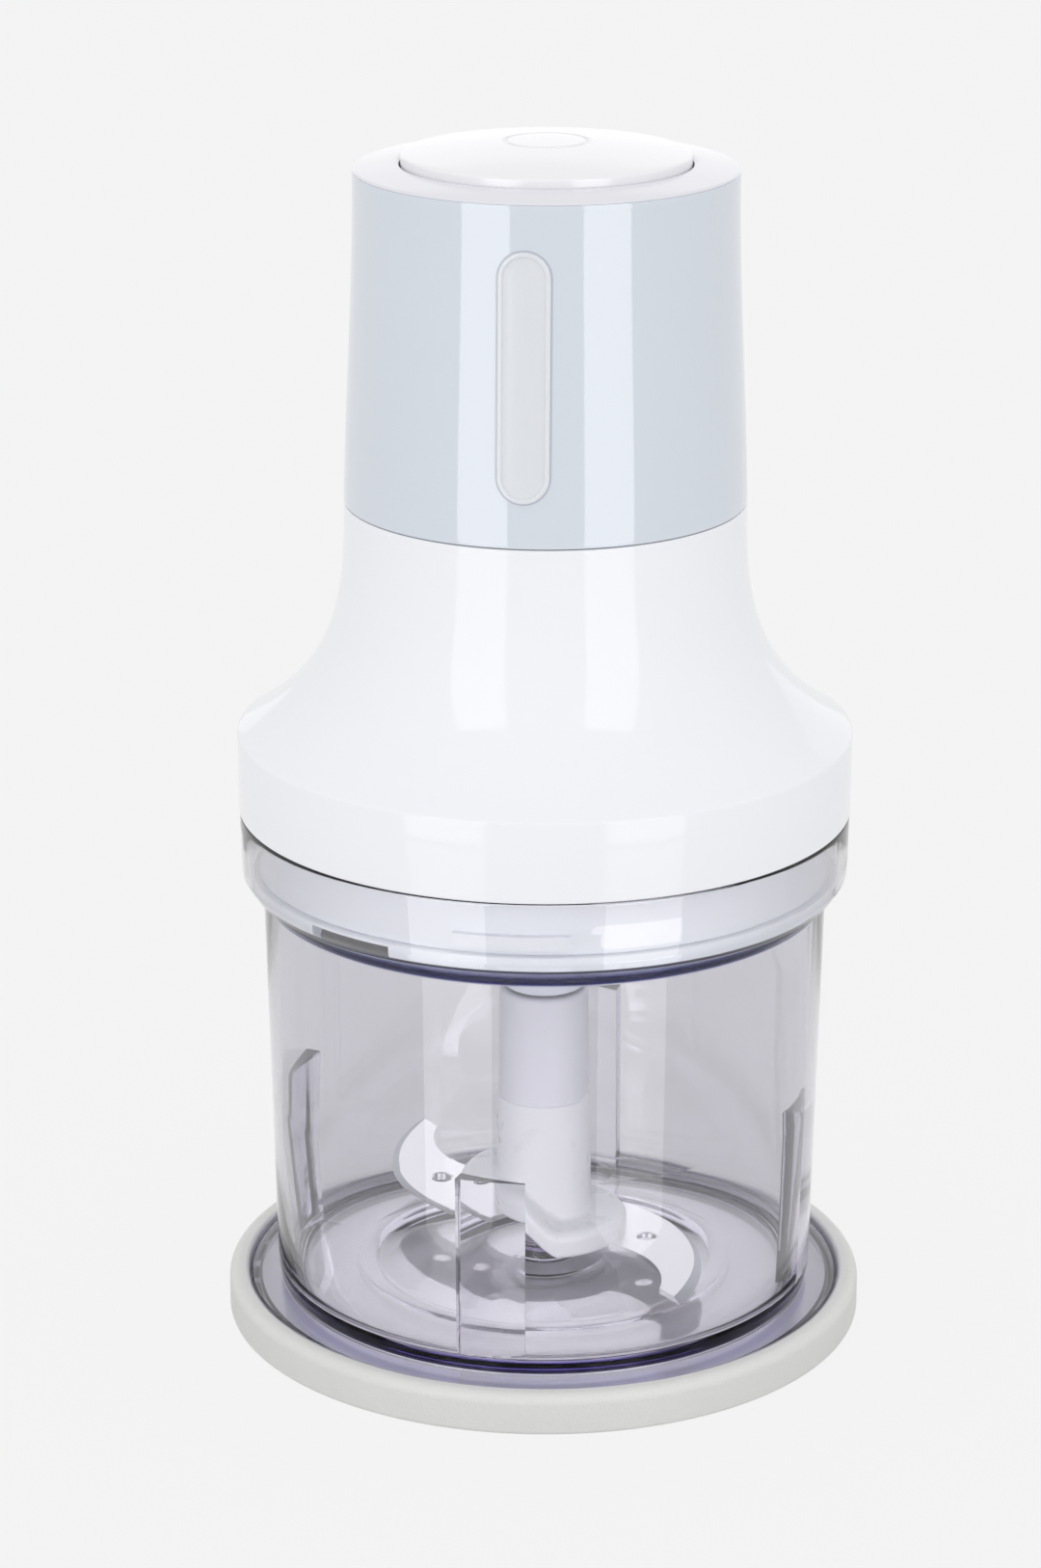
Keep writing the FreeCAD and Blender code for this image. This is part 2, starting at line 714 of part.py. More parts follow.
def make_bottom_cover():
    cover = new_body("bottom_cover")
    rim_radius = "(skirt_radius + rim_reach)"
    revolve(cover, "cover_turned", [
        (BARREL + " + 2", "cover_floor"),
        ("skirt_radius - skirt_wall", "cover_floor"),
        ("skirt_radius - skirt_wall", LID_TOP),
        ("skirt_radius", LID_TOP, "0.4"),
        ("skirt_radius", "rim_step_z"),
        (rim_radius, "rim_step_z"),
        (rim_radius, "cover_rim_top"),
        (rim_radius + " - 2", "cover_rim_top"),
        (rim_radius + " - 2", COVER_TOP),
        (BARREL + " + 2", COVER_TOP),
    ])
    lug = revolve(cover, "lug", ring("skirt_radius - 0.5", "skirt_radius + lug_reach",
                                     LID_TOP + " + 1.4", LID_TOP + " + 1.4 + lug_height"),
                  angle="lug_spread", midplane=True, turn="lug_turn")
    around(cover, "lugs", [lug], "lug_count")
    hole = round_pocket(cover, "screw_hole", "screw_circle", "0", "screw_radius + seat_gap",
                        "cover_floor - 1", "cover_plate + 2", "lug_turn")
    around(cover, "screw_holes", [hole], "screw_count")
    for side, sign in (("left", "-"), ("right", "")):
        round_pocket(cover, side + "_clamp_hole", sign + "clamp_screw_x", "clamp_reach",
                     "screw_radius - 0.2 + seat_gap", "cover_floor - 1", "cover_plate + 2")
    return cover


def make_housing():
    housing = new_body("motor_housing")
    inner_radius = "(housing_radius - housing_wall)"
    neck_bore = "(neck_radius - housing_wall)"
    lean_drop = "housing_wall * (cos(shoulder_lean) - (1 - sin(shoulder_lean)) * tan(shoulder_lean))"
    inner_shoulder = "(shoulder_z - %s)" % lean_drop
    spigot_bore = "(spigot_radius - spigot_wall)"
    revolve(housing, "housing_shell", [
        (inner_radius, "housing_bottom"),
        ("housing_radius", "housing_bottom", "0.4"),
        ("housing_radius", "shoulder_z"),
        ("neck_radius", "neck_z"),
        ("spigot_radius", "neck_z"),
        ("spigot_radius", "neck_z + spigot_height"),
        (spigot_bore, "neck_z + spigot_height"),
        (spigot_bore, "neck_z - 2"),
        (neck_bore, "neck_z - 3"),
        (inner_radius, inner_shoulder),
    ], curves={
        2: [("housing_radius - shoulder_pull * cos(shoulder_lean)",
             "shoulder_z + shoulder_pull * sin(shoulder_lean)"),
            ("neck_radius", "neck_z - neck_pull")],
        8: [(neck_bore, "neck_z - neck_pull"),
            (inner_radius + " - shoulder_pull * cos(shoulder_lean)",
             inner_shoulder + " + shoulder_pull * sin(shoulder_lean)")],
    })
    boss = round_pad(housing, "boss", "screw_circle", "0", "screw_boss", "cover_rim_top + seat_gap",
                     "screw_boss_top - cover_rim_top - seat_gap", "lug_turn")
    rib = pad(housing, "boss_rib", block("screw_circle + screw_boss - 1", "housing_radius - housing_wall + 1",
                                         "-screw_rib / 2", "screw_rib / 2"),
              "cover_rim_top + seat_gap", "screw_boss_top - cover_rim_top - seat_gap", "lug_turn")
    around(housing, "bosses", [boss, rib], "screw_count")
    hole = round_pocket(housing, "boss_hole", "screw_circle", "0", "screw_radius + seat_gap",
                        "cover_rim_top - 1", "screw_reach + cover_floor + 1.6 - cover_rim_top", "lug_turn")
    around(housing, "boss_holes", [hole], "screw_count")
    sketch = circle(sketch_in(housing, "inlet_circle", "XZ_Plane", "-housing_radius - 2"),
                    "0", "inlet_z", "inlet_radius + seat_gap")
    extrude(housing, "inlet_hole", sketch, "housing_wall + 6", "PartDesign::Pocket", True)
    return housing


def sleeve_curve(extra="0"):
    """The sleeve's outer line, from the neck up, moved out by extra."""
    third = "(sleeve_top - neck_z) / 3"
    return {
        "low": ("neck_radius + " + extra, "neck_z"),
        "high": ("sleeve_top_radius + " + extra, "sleeve_top"),
        "poles": [("sleeve_low_pole + " + extra, "neck_z + " + third),
                  ("sleeve_high_pole + " + extra, "neck_z + 2 * " + third)],
    }


def make_sleeve():
    line = sleeve_curve()
    return turned("sleeve", [
        ("spigot_radius + seat_gap", "neck_z"),
        line["low"],
        line["high"],
        ("sleeve_top_radius - sleeve_wall", "sleeve_top"),
        ("spigot_radius + seat_gap", "neck_z + spigot_height + 0.5"),
    ], curves={1: line["poles"]})


def badge_layer(name, low, high, radius, raised, hollow=None):
    """A pill-shaped skin on the sleeve, cut from a thin shell that follows the sleeve."""
    inside = sleeve_curve("seat_gap / 2")
    outside = sleeve_curve(raised)
    shell = turned(name + "_shell", [inside["low"], outside["low"], outside["high"], inside["high"]],
                   curves={1: outside["poles"], 3: inside["poles"][::-1]})
    prism = new_body(name + "_prism")
    sketch = outline(sketch_in(prism, name + "_pill", "XZ_Plane"), pill(low, high, radius))
    if hollow:
        outline(sketch, pill(*hollow))
    extrude(prism, name + "_pad", sketch, "neck_radius + 4")
    return combine("Part::Common", name, shell, prism)


def make_badge():
    inner = ("badge_bottom + badge_rim", "badge_top - badge_rim", "badge_radius - badge_rim")
    rim = badge_layer("badge_rim_layer", "badge_bottom", "badge_top", "badge_radius", "badge_raise", inner)
    plate = badge_layer("badge_plate_layer", *inner, "badge_plate")
    return combine("Part::Fuse", "badge", rim, plate)


def make_top_cap():
    skirt_radius = "(sleeve_top_radius - sleeve_wall - seat_gap)"
    return turned("top_cap", [
        ("web_hole", "web_z"),
        (BUTTON_BORE + " + cap_wall", "web_z"),
        (BUTTON_BORE + " + cap_wall", "sleeve_top - 2.2"),
        (skirt_radius + " - cap_wall", "sleeve_top - 2.2"),
        (skirt_radius + " - cap_wall", "sleeve_top - cap_skirt"),
        (skirt_radius, "sleeve_top - cap_skirt"),
        (skirt_radius, "sleeve_top"),
        ("sleeve_top_radius", "sleeve_top"),
        ("sleeve_top_radius - 0.3", "sleeve_top + 0.4"),
        (BUTTON_BORE, "cap_top", "0.5"),
        (BUTTON_BORE, WEB_TOP),
        ("web_hole", WEB_TOP),
    ])


# ---- button ----

def make_button():
    button = turned("button", [
        ("0", "stem_bottom"),
        ("stem_radius", "stem_bottom", "0.4"),
        ("stem_radius", "button_edge_z - button_wall + 0.8"),
        ("button_radius - button_wall", "button_edge_z - button_wall"),
        ("button_radius - button_wall", "button_skirt_bottom"),
        ("button_radius", "button_skirt_bottom"),
        ("button_radius", "button_edge_z - 0.9"),
        ("button_edge_radius", "button_edge_z"),
        ("0", "button_top"),
    ], curves={7: [("button_edge_radius * 0.66", "button_top - 0.8"), ("button_edge_radius / 3", "button_top")]})
    return button


def make_button_spring():
    helix = doc.addObject("Part::Helix", "spring_line")
    helix.SegmentLength = 0.25         # quarter turns keep the sweep's faces simple
    bind(helix, {"Pitch": "spring_pitch", "Radius": "spring_radius",
                 "Height": "button_edge_z - button_wall - %s - spring_wire" % WEB_TOP})
    wire = doc.addObject("Part::Plane", "spring_wire_section")
    wire.Placement.Rotation = Rotation(Vector(1, 0, 0), 90)
    bind(wire, {"Length": "spring_wire", "Width": "spring_wire",
                "Placement.Base.x": "spring_radius - spring_wire / 2", "Placement.Base.z": "-spring_wire / 2"})
    doc.recompute()
    spring = doc.addObject("Part::Sweep", "button_spring")
    spring.Sections = [wire]
    spring.Spine = (helix, [])
    spring.Solid = True
    spring.Frenet = True
    return move(spring, "0", "0", WEB_TOP + " + spring_wire / 2")


# ---- motor ----

def make_coupler():
    coupler = new_body("drive_coupler")
    pad(coupler, "coupler_hex", regular_polygon("coupler_flat"), "coupler_bottom",
        "coupler_shoulder - coupler_bottom + 1")
    round_pad(coupler, "coupler_barrel", "0", "0", BARREL, "coupler_shoulder",
              "coupler_top - coupler_shoulder")
    round_pocket(coupler, "coupler_bore", "0", "0", "shaft_radius + seat_gap", "shaft_bottom",
                 "coupler_top - shaft_bottom + 1")
    sketch = circle(sketch_in(coupler, "coupler_pin_circle", "XZ_Plane", "-" + BARREL + " - 1"), "0",
                    "pin_z", "pin_radius + seat_gap")
    extrude(coupler, "coupler_pin_hole", sketch, "2 * " + BARREL + " + 2", "PartDesign::Pocket", True)
    return coupler


def make_shaft():
    shaft = new_body("armature_shaft")
    revolve(shaft, "shaft_turned", [
        ("0", "shaft_bottom"),
        ("shaft_radius", "shaft_bottom", "0.5"),
        ("shaft_radius", "shaft_top", "0.5"),
        ("0", "shaft_top"),
    ])
    sketch = circle(sketch_in(shaft, "shaft_pin_circle", "XZ_Plane", "-shaft_radius - 1"), "0", "pin_z",
                    "pin_radius + seat_gap")
    extrude(shaft, "shaft_pin_hole", sketch, "2 * shaft_radius + 2", "PartDesign::Pocket", True)
    return shaft


def make_coupler_pin():
    pin = new_body("coupler_pin")
    sketch = circle(sketch_in(pin, "pin_circle", "XZ_Plane", "-" + BARREL + " + 0.2"), "0", "pin_z",
                    "pin_radius")
    extrude(pin, "pin_pad", sketch, "2 * " + BARREL + " - 0.4")
    return pin


def slot_corners(inset="0"):
    half = "(slot_width / 2 - %s)" % inset
    outer = "armature_radius + 1" if inset == "0" else "armature_radius - 1"
    return block("armature_radius - slot_depth + " + inset, outer, "-" + half, half)


def make_armature():
    core = new_body("armature_core")
    revolve(core, "core_turned", ring("shaft_radius + seat_gap", "armature_radius", "core_z", CORE_TOP))
    slot = pocket(core, "core_slot", slot_corners(), "core_z - 1", "core_height + 2")
    around(core, "core_slots", [slot], "slot_count")
    windings = new_body("armature_windings")
    bottom = "core_z - winding_reach"
    revolve(windings, "low_turns", [
        ("shaft_radius + 1", "core_z - 0.1"),
        ("shaft_radius + 1", bottom),
        ("armature_radius - 2.5", bottom, "2.4"),
        ("armature_radius - 1", "core_z - 0.1", "0.8"),
    ])
    bar = pad(windings, "slot_bar", slot_corners("0.15"), "core_z - 0.6", "core_height + 1.2")
    around(windings, "slot_bars", [bar], "slot_count")
    top = CORE_TOP + " + winding_reach"
    revolve(windings, "high_turns", [
        ("shaft_radius + 1", CORE_TOP + " + 0.1"),
        ("armature_radius - 1", CORE_TOP + " + 0.1", "0.8"),
        ("armature_radius - 2.5", top, "2.4"),
        ("shaft_radius + 1", top),
    ])
    commutator = new_body("commutator")
    revolve(commutator, "commutator_turned", ring("shaft_radius + seat_gap", "commutator_radius",
                                                  "commutator_z", "commutator_z + commutator_height"))
    cut = pocket(commutator, "segment_cut", block("commutator_radius - 1.2", "commutator_radius + 1",
                                                  "-0.25", "0.25"), "commutator_z + 2", "commutator_height")
    around(commutator, "segment_cuts", [cut], "slot_count")
    return [core, windings, commutator]


def make_fan():
    fan = new_body("cooling_fan")
    revolve(fan, "fan_hub_turned", [
        ("shaft_radius + seat_gap", "fan_z"),
        ("fan_radius", "fan_z"),
        ("fan_radius", "fan_z + fan_plate"),
        ("fan_hub", "fan_z + fan_plate", "1"),
        ("fan_hub", "fan_z + fan_height"),
        ("shaft_radius + seat_gap", "fan_z + fan_height"),
    ])
    blade = pad(fan, "fan_blade", [("fan_hub - 1", "-0.6"), ("fan_radius - 1", "4"), ("fan_radius - 1", "5.2"),
                                   ("fan_hub - 1", "0.6")], "fan_z + fan_plate - 0.2",
                "fan_height - fan_plate + 0.2")
    around(fan, "fan_blade_ring", [blade], "fan_blades")
    return fan


def make_stator():
    core = new_body("stator_core")
    revolve(core, "back_iron", ring("core_radius - core_back", "core_radius", "core_z", CORE_TOP))
    pad(core, "poles", block("-(core_radius - core_back / 2)", "core_radius - core_back / 2",
                             "-pole_half_width", "pole_half_width"), "core_z", "core_height")
    round_pocket(core, "stator_bore", "0", "0", "bore_radius", "core_z - 1", "core_height + 2")
    hole = round_pocket(core, "bolt_hole", "bolt_circle * cos(45)", "bolt_circle * sin(45)",
                        "bolt_radius + seat_gap", "core_z - 1", "core_height + 2")
    around(core, "bolt_holes", [hole], "4")
    coils = []
    for name, turn in (("field_coil_right", "0"), ("field_coil_left", "180")):
        coil = new_body(name, turn if turn != "0" else None)
        outer = "(pole_half_width + seat_gap + coil_width)"
        inner = "(pole_half_width + seat_gap)"
        sketch = sketch_in(coil, name + "_outline", "YZ_Plane", "coil_inner_x")
        outline(sketch, [(x, z, "3.4") for x, z in block("-" + outer, outer, "core_z - coil_overhang",
                                                         CORE_TOP + " + coil_overhang")])
        outline(sketch, block("-" + inner, inner, "core_z - seat_gap", CORE_TOP + " + seat_gap"))
        extrude(coil, name + "_pad", sketch, "coil_depth")
        coils.append(coil)
    return [core] + coils


def make_bearings():
    lower = turned("lower_bearing", ring("shaft_radius + running_gap", "bearing_radius", "lower_bearing_z",
                                         "lower_bearing_z + bearing_width"))
    upper = turned("upper_bearing", ring("shaft_radius + running_gap", "upper_bearing_radius",
                                         "upper_bearing_z", "upper_bearing_z + upper_bearing_width"))
    return [lower, upper]


def bolt_features(body, name, low, length):
    """Four hollow posts for the long motor bolts."""
    place = ("bolt_circle * cos(45)", "bolt_circle * sin(45)")
    post = round_pad(body, name + "_post", *place, "post_radius", low, length)
    around(body, name + "_posts", [post], "4")
    hole = round_pocket(body, name + "_hole", *place, "bolt_radius + seat_gap", "%s - 8" % low, length + " + 16")
    around(body, name + "_holes", [hole], "4")


def make_brackets():
    lower = new_body("lower_bracket")
    cup_bore = "(bearing_radius + seat_gap)"
    cup_bottom = "(lower_bearing_z - 1)"
    revolve(lower, "lower_bracket_turned", [
        (BARREL + " + 1", cup_bottom),
        (cup_bore + " + cup_wall", cup_bottom, "0.8"),
        (cup_bore + " + cup_wall", "bracket_z"),
        (BRACKET_RADIUS, "bracket_z"),
        (BRACKET_RADIUS, "bracket_z + bracket_plate", "0.8"),
        (cup_bore + " + cup_wall", "bracket_z + bracket_plate"),
        (cup_bore + " + cup_wall", cup_bottom + " + cup_height"),
        (cup_bore, cup_bottom + " + cup_height"),
        (cup_bore, "lower_bearing_z"),
        (BARREL + " + 1", "lower_bearing_z"),
    ])
    vent = round_pocket(lower, "vent", "mount_circle", "0", "mount_radius - 0.8", "bracket_z - 1",
                        "bracket_plate + 2")
    around(lower, "vents", [vent], "4")
    bolt_features(lower, "lower", "(bracket_z + bracket_plate - 0.4)",
                  "core_z - bracket_z - bracket_plate + 0.4")
    upper = new_body("upper_bracket")
    cup_bore = "(upper_bearing_radius + seat_gap)"
    cup_top = "(upper_bearing_z + upper_bearing_width)"
    plate_top = "(top_bracket_z + bracket_plate)"
    revolve(upper, "upper_bracket_turned", [
        ("shaft_radius + 1.5", "top_bracket_z"),
        (BRACKET_RADIUS, "top_bracket_z"),
        (BRACKET_RADIUS, plate_top, "0.8"),
        (cup_bore + " + cup_wall", plate_top, "1"),
        (cup_bore + " + cup_wall", cup_top, "0.8"),
        (cup_bore, cup_top),
        (cup_bore, "upper_bearing_z"),
        ("shaft_radius + 1.5", "upper_bearing_z"),
    ])
    pillar = round_pad(upper, "board_pillar", "pillar_circle", "0", "pillar_radius", plate_top + " - 0.4",
                       "board_z - %s + 0.4" % plate_top)
    around(upper, "board_pillars", [pillar], "3")
    bolt_features(upper, "upper", CORE_TOP, "top_bracket_z - %s + 0.4" % CORE_TOP)
    return [lower, upper]


def make_bolts():
    bolts = []
    for i in range(4):
        bolt = turned("motor_bolt_%d" % (i + 1), [
            ("0", "bracket_z - 1.6"),
            ("bolt_radius * 1.8", "bracket_z - 1.6", "0.4"),
            ("bolt_radius * 1.8", "bracket_z"),
            ("bolt_radius", "bracket_z"),
            ("bolt_radius", "top_bracket_z + bracket_plate + 1"),
            ("0", "top_bracket_z + bracket_plate + 1"),
        ])
        angle = 45 + 90 * i
        bolts.append(move(bolt, "bolt_circle * cos(%d)" % angle, "bolt_circle * sin(%d)" % angle))
    return group("motor_bolts", bolts)


def make_rubber_mounts():
    mounts = []
    for i in range(4):
        mount = turned("rubber_mount_%d" % (i + 1), [
            ("0", COVER_TOP),
            ("mount_radius", COVER_TOP, "0.5"),
            ("mount_radius", "bracket_z"),
            ("0", "bracket_z"),
        ])
        angle = 45 + 90 * i
        mounts.append(move(mount, "mount_circle * cos(%d)" % angle, "mount_circle * sin(%d)" % angle))
    return group("rubber_mounts", mounts)


def make_brushes():
    """A carbon brush in its holder on each side of the commutator, front and back."""
    pieces = []
    half = "(brush_size / 2)"
    channel = "(brush_size / 2 + seat_gap)"
    outside = "(%s + holder_wall)" % channel
    middle = "(brush_z + brush_size / 2)"
    start = "(commutator_radius + 1)"
    for place, turn in (("front", "-90"), ("rear", "90")):
        holder = new_body("brush_holder_" + place, turn)
        sketch = sketch_in(holder, place + "_holder_outline", "YZ_Plane", start)
        outline(sketch, block("-" + outside, outside, middle + " - " + outside, "top_bracket_z"))
        outline(sketch, block("-" + channel, channel, middle + " - " + channel, middle + " + " + channel))
        extrude(holder, place + "_holder_pad", sketch, "holder_length")
        brush = new_body("carbon_brush_" + place, turn)
        sketch = sketch_in(brush, place + "_brush_outline", "YZ_Plane", "commutator_radius + fit_gap")
        outline(sketch, block("-" + half, half, "brush_z", "brush_z + brush_size"))
        extrude(brush, place + "_brush_pad", sketch, "brush_length")
        pieces += [holder, brush]
    return pieces


# ---- electrics ----

def make_board():
    board = new_body("circuit_board")
    round_pad(board, "board_disc", "0", "0", "board_radius", "board_z", "board_plate")
    top = "(board_z + board_plate)"
    capacitor = new_body("suppression_capacitor")
    sketch = sketch_in(capacitor, "capacitor_outline", "XY_Plane", top)
    outline(sketch, [(x, y, "0.8") for x, y in block("-capacitor_length / 2", "capacitor_length / 2",
                                                     "12", "12 + capacitor_width")])
    extrude(capacitor, "capacitor_pad", sketch, "capacitor_height")
    chokes = []
    for i, side in enumerate(("-", "")):
        choke = turned("choke_coil_%d" % (i + 1), ring("0", "choke_radius", top, top + " + choke_height"))
        chokes.append(move(choke, side + "choke_radius * 1.6", "-15"))
    return [board, capacitor, group("choke_coils", chokes)]


def make_switch():
    top = "(board_z + board_plate)"
    block_body = new_body("switch_block")
    pad(block_body, "switch_case", block("-switch_length / 2", "switch_length / 2", "-switch_width / 2",
                                         "switch_width / 2"), top, "switch_top - %s" % top)
    round_pocket(block_body, "plunger_well", "0", "0", "plunger_radius + fit_gap",
                 "switch_top - 2 * plunger_stroke", "2 * plunger_stroke + 1")
    plunger = turned("switch_plunger", [
        ("0", "switch_top - plunger_stroke"),
        ("plunger_radius", "switch_top - plunger_stroke"),
        ("plunger_radius", "stem_bottom", "0.6"),
        ("0", "stem_bottom"),
    ])
    return [block_body, plunger]


# ---- cord inlet and screws ----

def make_inlet():
    barrel = new_body("gland_turned")
    sketch = circle(sketch_in(barrel, "gland_flange_circle", "XZ_Plane", "-housing_radius - inlet_proud"),
                    "0", "inlet_z", "inlet_flange")
    extrude(barrel, "gland_flange", sketch, "inlet_proud + 0.4")
    sketch = circle(sketch_in(barrel, "gland_barrel_circle", "XZ_Plane", "-housing_radius - 1"), "0",
                    "inlet_z", "inlet_radius")
    extrude(barrel, "gland_barrel", sketch, "inlet_inside + 1")
    sketch = circle(sketch_in(barrel, "gland_bore_circle", "XZ_Plane", "-housing_radius - inlet_proud - 1"),
                    "0", "inlet_z", "inlet_bore")
    extrude(barrel, "gland_bore", sketch, "inlet_proud + inlet_inside + 2", "PartDesign::Pocket", True)
    # the flange's back is shaped to the round casing that it sits on
    wall = turned("gland_wall", ring("housing_radius - housing_wall", "housing_radius", "housing_bottom",
                                     "shoulder_z"))
    opening = doc.addObject("Part::Cylinder", "gland_opening")
    opening.Placement.Rotation = Rotation(Vector(1, 0, 0), -90)
    bind(opening, {"Radius": "inlet_radius + seat_gap", "Height": "2 * housing_radius",
                   "Placement.Base.z": "inlet_z"})
    seat = combine("Part::Cut", "gland_seat", wall, opening)
    gland = combine("Part::Cut", "cord_gland", barrel, seat)
    clamp = new_body("cord_clamp")
    pad(clamp, "clamp_block", block("-clamp_length / 2", "clamp_length / 2", "clamp_reach - clamp_width / 2",
                                    "clamp_reach + clamp_width / 2"), COVER_TOP, "clamp_top - %s" % COVER_TOP)
    sketch = circle(sketch_in(clamp, "clamp_bore_circle", "XZ_Plane", "-clamp_reach - clamp_width"),
                    "0", "inlet_z", "inlet_bore - 0.4")
    extrude(clamp, "clamp_bore", sketch, "2 * clamp_width", "PartDesign::Pocket", True)
    for side, sign in (("left", "-"), ("right", "")):
        round_pocket(clamp, side + "_clamp_screw_hole", sign + "clamp_screw_x", "clamp_reach",
                     "screw_radius - 0.2 + seat_gap", "%s - 1" % COVER_TOP, "clamp_top - %s + 2" % COVER_TOP)
    return gland, clamp


def make_screw(name, head_bottom, reach, radius, up):
    """A pan-head screw along Z. Its shank points up from its head, or down."""
    way = "+" if up else "-"
    screw = turned(name, [
        ("0", head_bottom),
        ("screw_head_radius", head_bottom, "0.8"),
        ("screw_head_radius", "%s %s screw_head" % (head_bottom, way)),
        (radius, "%s %s screw_head" % (head_bottom, way)),
        (radius, "%s %s screw_head %s (%s)" % (head_bottom, way, way, reach)),
        ("0", "%s %s screw_head %s (%s)" % (head_bottom, way, way, reach)),
    ])
    bar = block("-screw_head_radius * 0.55", "screw_head_radius * 0.55", "-0.4", "0.4")
    cross = block("-0.4", "0.4", "-screw_head_radius * 0.55", "screw_head_radius * 0.55")
    for part, corners in (("slot", bar), ("cross", cross)):
        low = head_bottom + (" - 1" if up else " - 1.1")
        pocket(screw, "%s_%s" % (name, part), corners, low, "2.1")
    return screw


def make_screws():
    housing_screws = []
    for i in range(round(value("screw_count"))):
        screw = make_screw("housing_screw_%d" % (i + 1), "(cover_floor - screw_head)", "screw_reach",
                           "screw_radius", True)
        angle = "(360 / screw_count * %d + lug_turn)" % i
        housing_screws.append(move(screw, "screw_circle * cos(%s)" % angle, "screw_circle * sin(%s)" % angle))
    clamp_screws = []
    for i, sign in enumerate(("-", "")):
        screw = make_screw("clamp_screw_%d" % (i + 1), "(clamp_top + screw_head)",
                           "clamp_top - cover_floor", "screw_radius - 0.2", False)
        clamp_screws.append(move(screw, sign + "clamp_screw_x", "clamp_reach"))
    return [group("housing_screws", housing_screws), group("clamp_screws", clamp_screws)]


# ---- the whole chopper ----

gland, clamp = make_inlet()
pieces = [make_base_ring(), make_bowl()]
pieces += make_knife()
pieces += make_splash_lid()
pieces += [make_bottom_cover(), make_housing(), make_sleeve(), make_badge(), make_top_cap()]
pieces += [make_button(), make_button_spring()]
pieces += [make_coupler(), make_shaft(), make_coupler_pin()]
pieces += make_armature()
pieces += [make_fan()]
pieces += make_stator()
pieces += make_bearings()
pieces += make_brackets()
pieces += [make_bolts(), make_rubber_mounts()]
pieces += make_brushes()
pieces += make_board()
pieces += make_switch()
pieces += [gland, clamp]
pieces += make_screws()

doc.recompute()
for thing in doc.Objects:
    if "Invalid" in thing.State or "Error" in thing.State:
        raise RuntimeError("%s failed: %s" % (thing.Name, thing.State))
for piece in pieces:
    if piece.Shape.isNull() or not piece.Shape.isValid() or not piece.Shape.Solids:
        raise RuntimeError(piece.Label + " has no valid solid")

os.makedirs("parts", exist_ok=True)
for piece in pieces:
    piece.Shape.exportStep("parts/%s.step" % piece.Label)
    print("%-24s %2d solids %10.1f mm3" % (piece.Label, len(piece.Shape.Solids), piece.Shape.Volume))
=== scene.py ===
import json
import math

import bmesh
import bpy
from mathutils import Matrix, Vector


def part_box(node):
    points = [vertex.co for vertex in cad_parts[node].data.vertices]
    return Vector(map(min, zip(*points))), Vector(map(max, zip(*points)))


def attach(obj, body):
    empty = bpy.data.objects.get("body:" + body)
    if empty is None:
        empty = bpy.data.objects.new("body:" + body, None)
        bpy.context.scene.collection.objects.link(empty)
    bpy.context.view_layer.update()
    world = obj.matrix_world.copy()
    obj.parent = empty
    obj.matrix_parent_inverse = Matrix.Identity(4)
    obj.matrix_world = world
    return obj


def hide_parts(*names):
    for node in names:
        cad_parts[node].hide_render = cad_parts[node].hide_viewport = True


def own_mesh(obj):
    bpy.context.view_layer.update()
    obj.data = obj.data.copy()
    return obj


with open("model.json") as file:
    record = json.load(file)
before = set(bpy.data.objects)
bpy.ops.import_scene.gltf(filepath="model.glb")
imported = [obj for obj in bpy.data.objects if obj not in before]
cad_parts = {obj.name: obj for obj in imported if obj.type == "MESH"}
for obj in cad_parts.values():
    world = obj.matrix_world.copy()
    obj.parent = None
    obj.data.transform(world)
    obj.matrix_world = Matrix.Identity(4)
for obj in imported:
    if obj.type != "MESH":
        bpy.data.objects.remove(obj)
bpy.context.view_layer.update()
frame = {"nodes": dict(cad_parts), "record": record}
scene = bpy.context.scene
mm = 0.001
seamGap = 0.002 * mm                    # points this close are one point


def edgesOf(node):                      # a CAD node's lowest and highest corners, in millimetres
    low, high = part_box(node)
    return low / mm, high / mm


def fill(tree, node, values):           # an input gets a plain value, a socket or a node's first output
    for name, value in values.items():
        if isinstance(value, bpy.types.Node):
            value = value.outputs[0]
        if isinstance(value, bpy.types.NodeSocket):
            tree.links.new(value, node.inputs[name])
        else:
            node.inputs[name].default_value = value


def addNode(tree, kind, values=None, **settings):
    node = tree.nodes.new(kind)
    for name, value in settings.items():
        setattr(node, name, value)
    fill(tree, node, values or {})
    return node


def calculate(tree, operation, *values, clamp=False):
    return addNode(tree, "ShaderNodeMath", dict(enumerate(values)), operation=operation, use_clamp=clamp)


def newMaterial(name, values):
    material = bpy.data.materials.new(name)
    material.use_nodes = True
    shader = material.node_tree.nodes["Principled BSDF"]
    fill(material.node_tree, shader, values)
    return material, material.node_tree, shader


def grey(level):
    return level, level, level, 1


cameraValues = {
    "azimuth": 6.2,                     # degrees round from the badge
    "distance": 811.05,                 # mm from the middle
    "height": 376.95,
    "pitch": 18.367,                    # degrees down
    "yaw": -0.33,
    "roll": 0.052,
    "lens": 101.84,
    "sensor": 36.0,
}


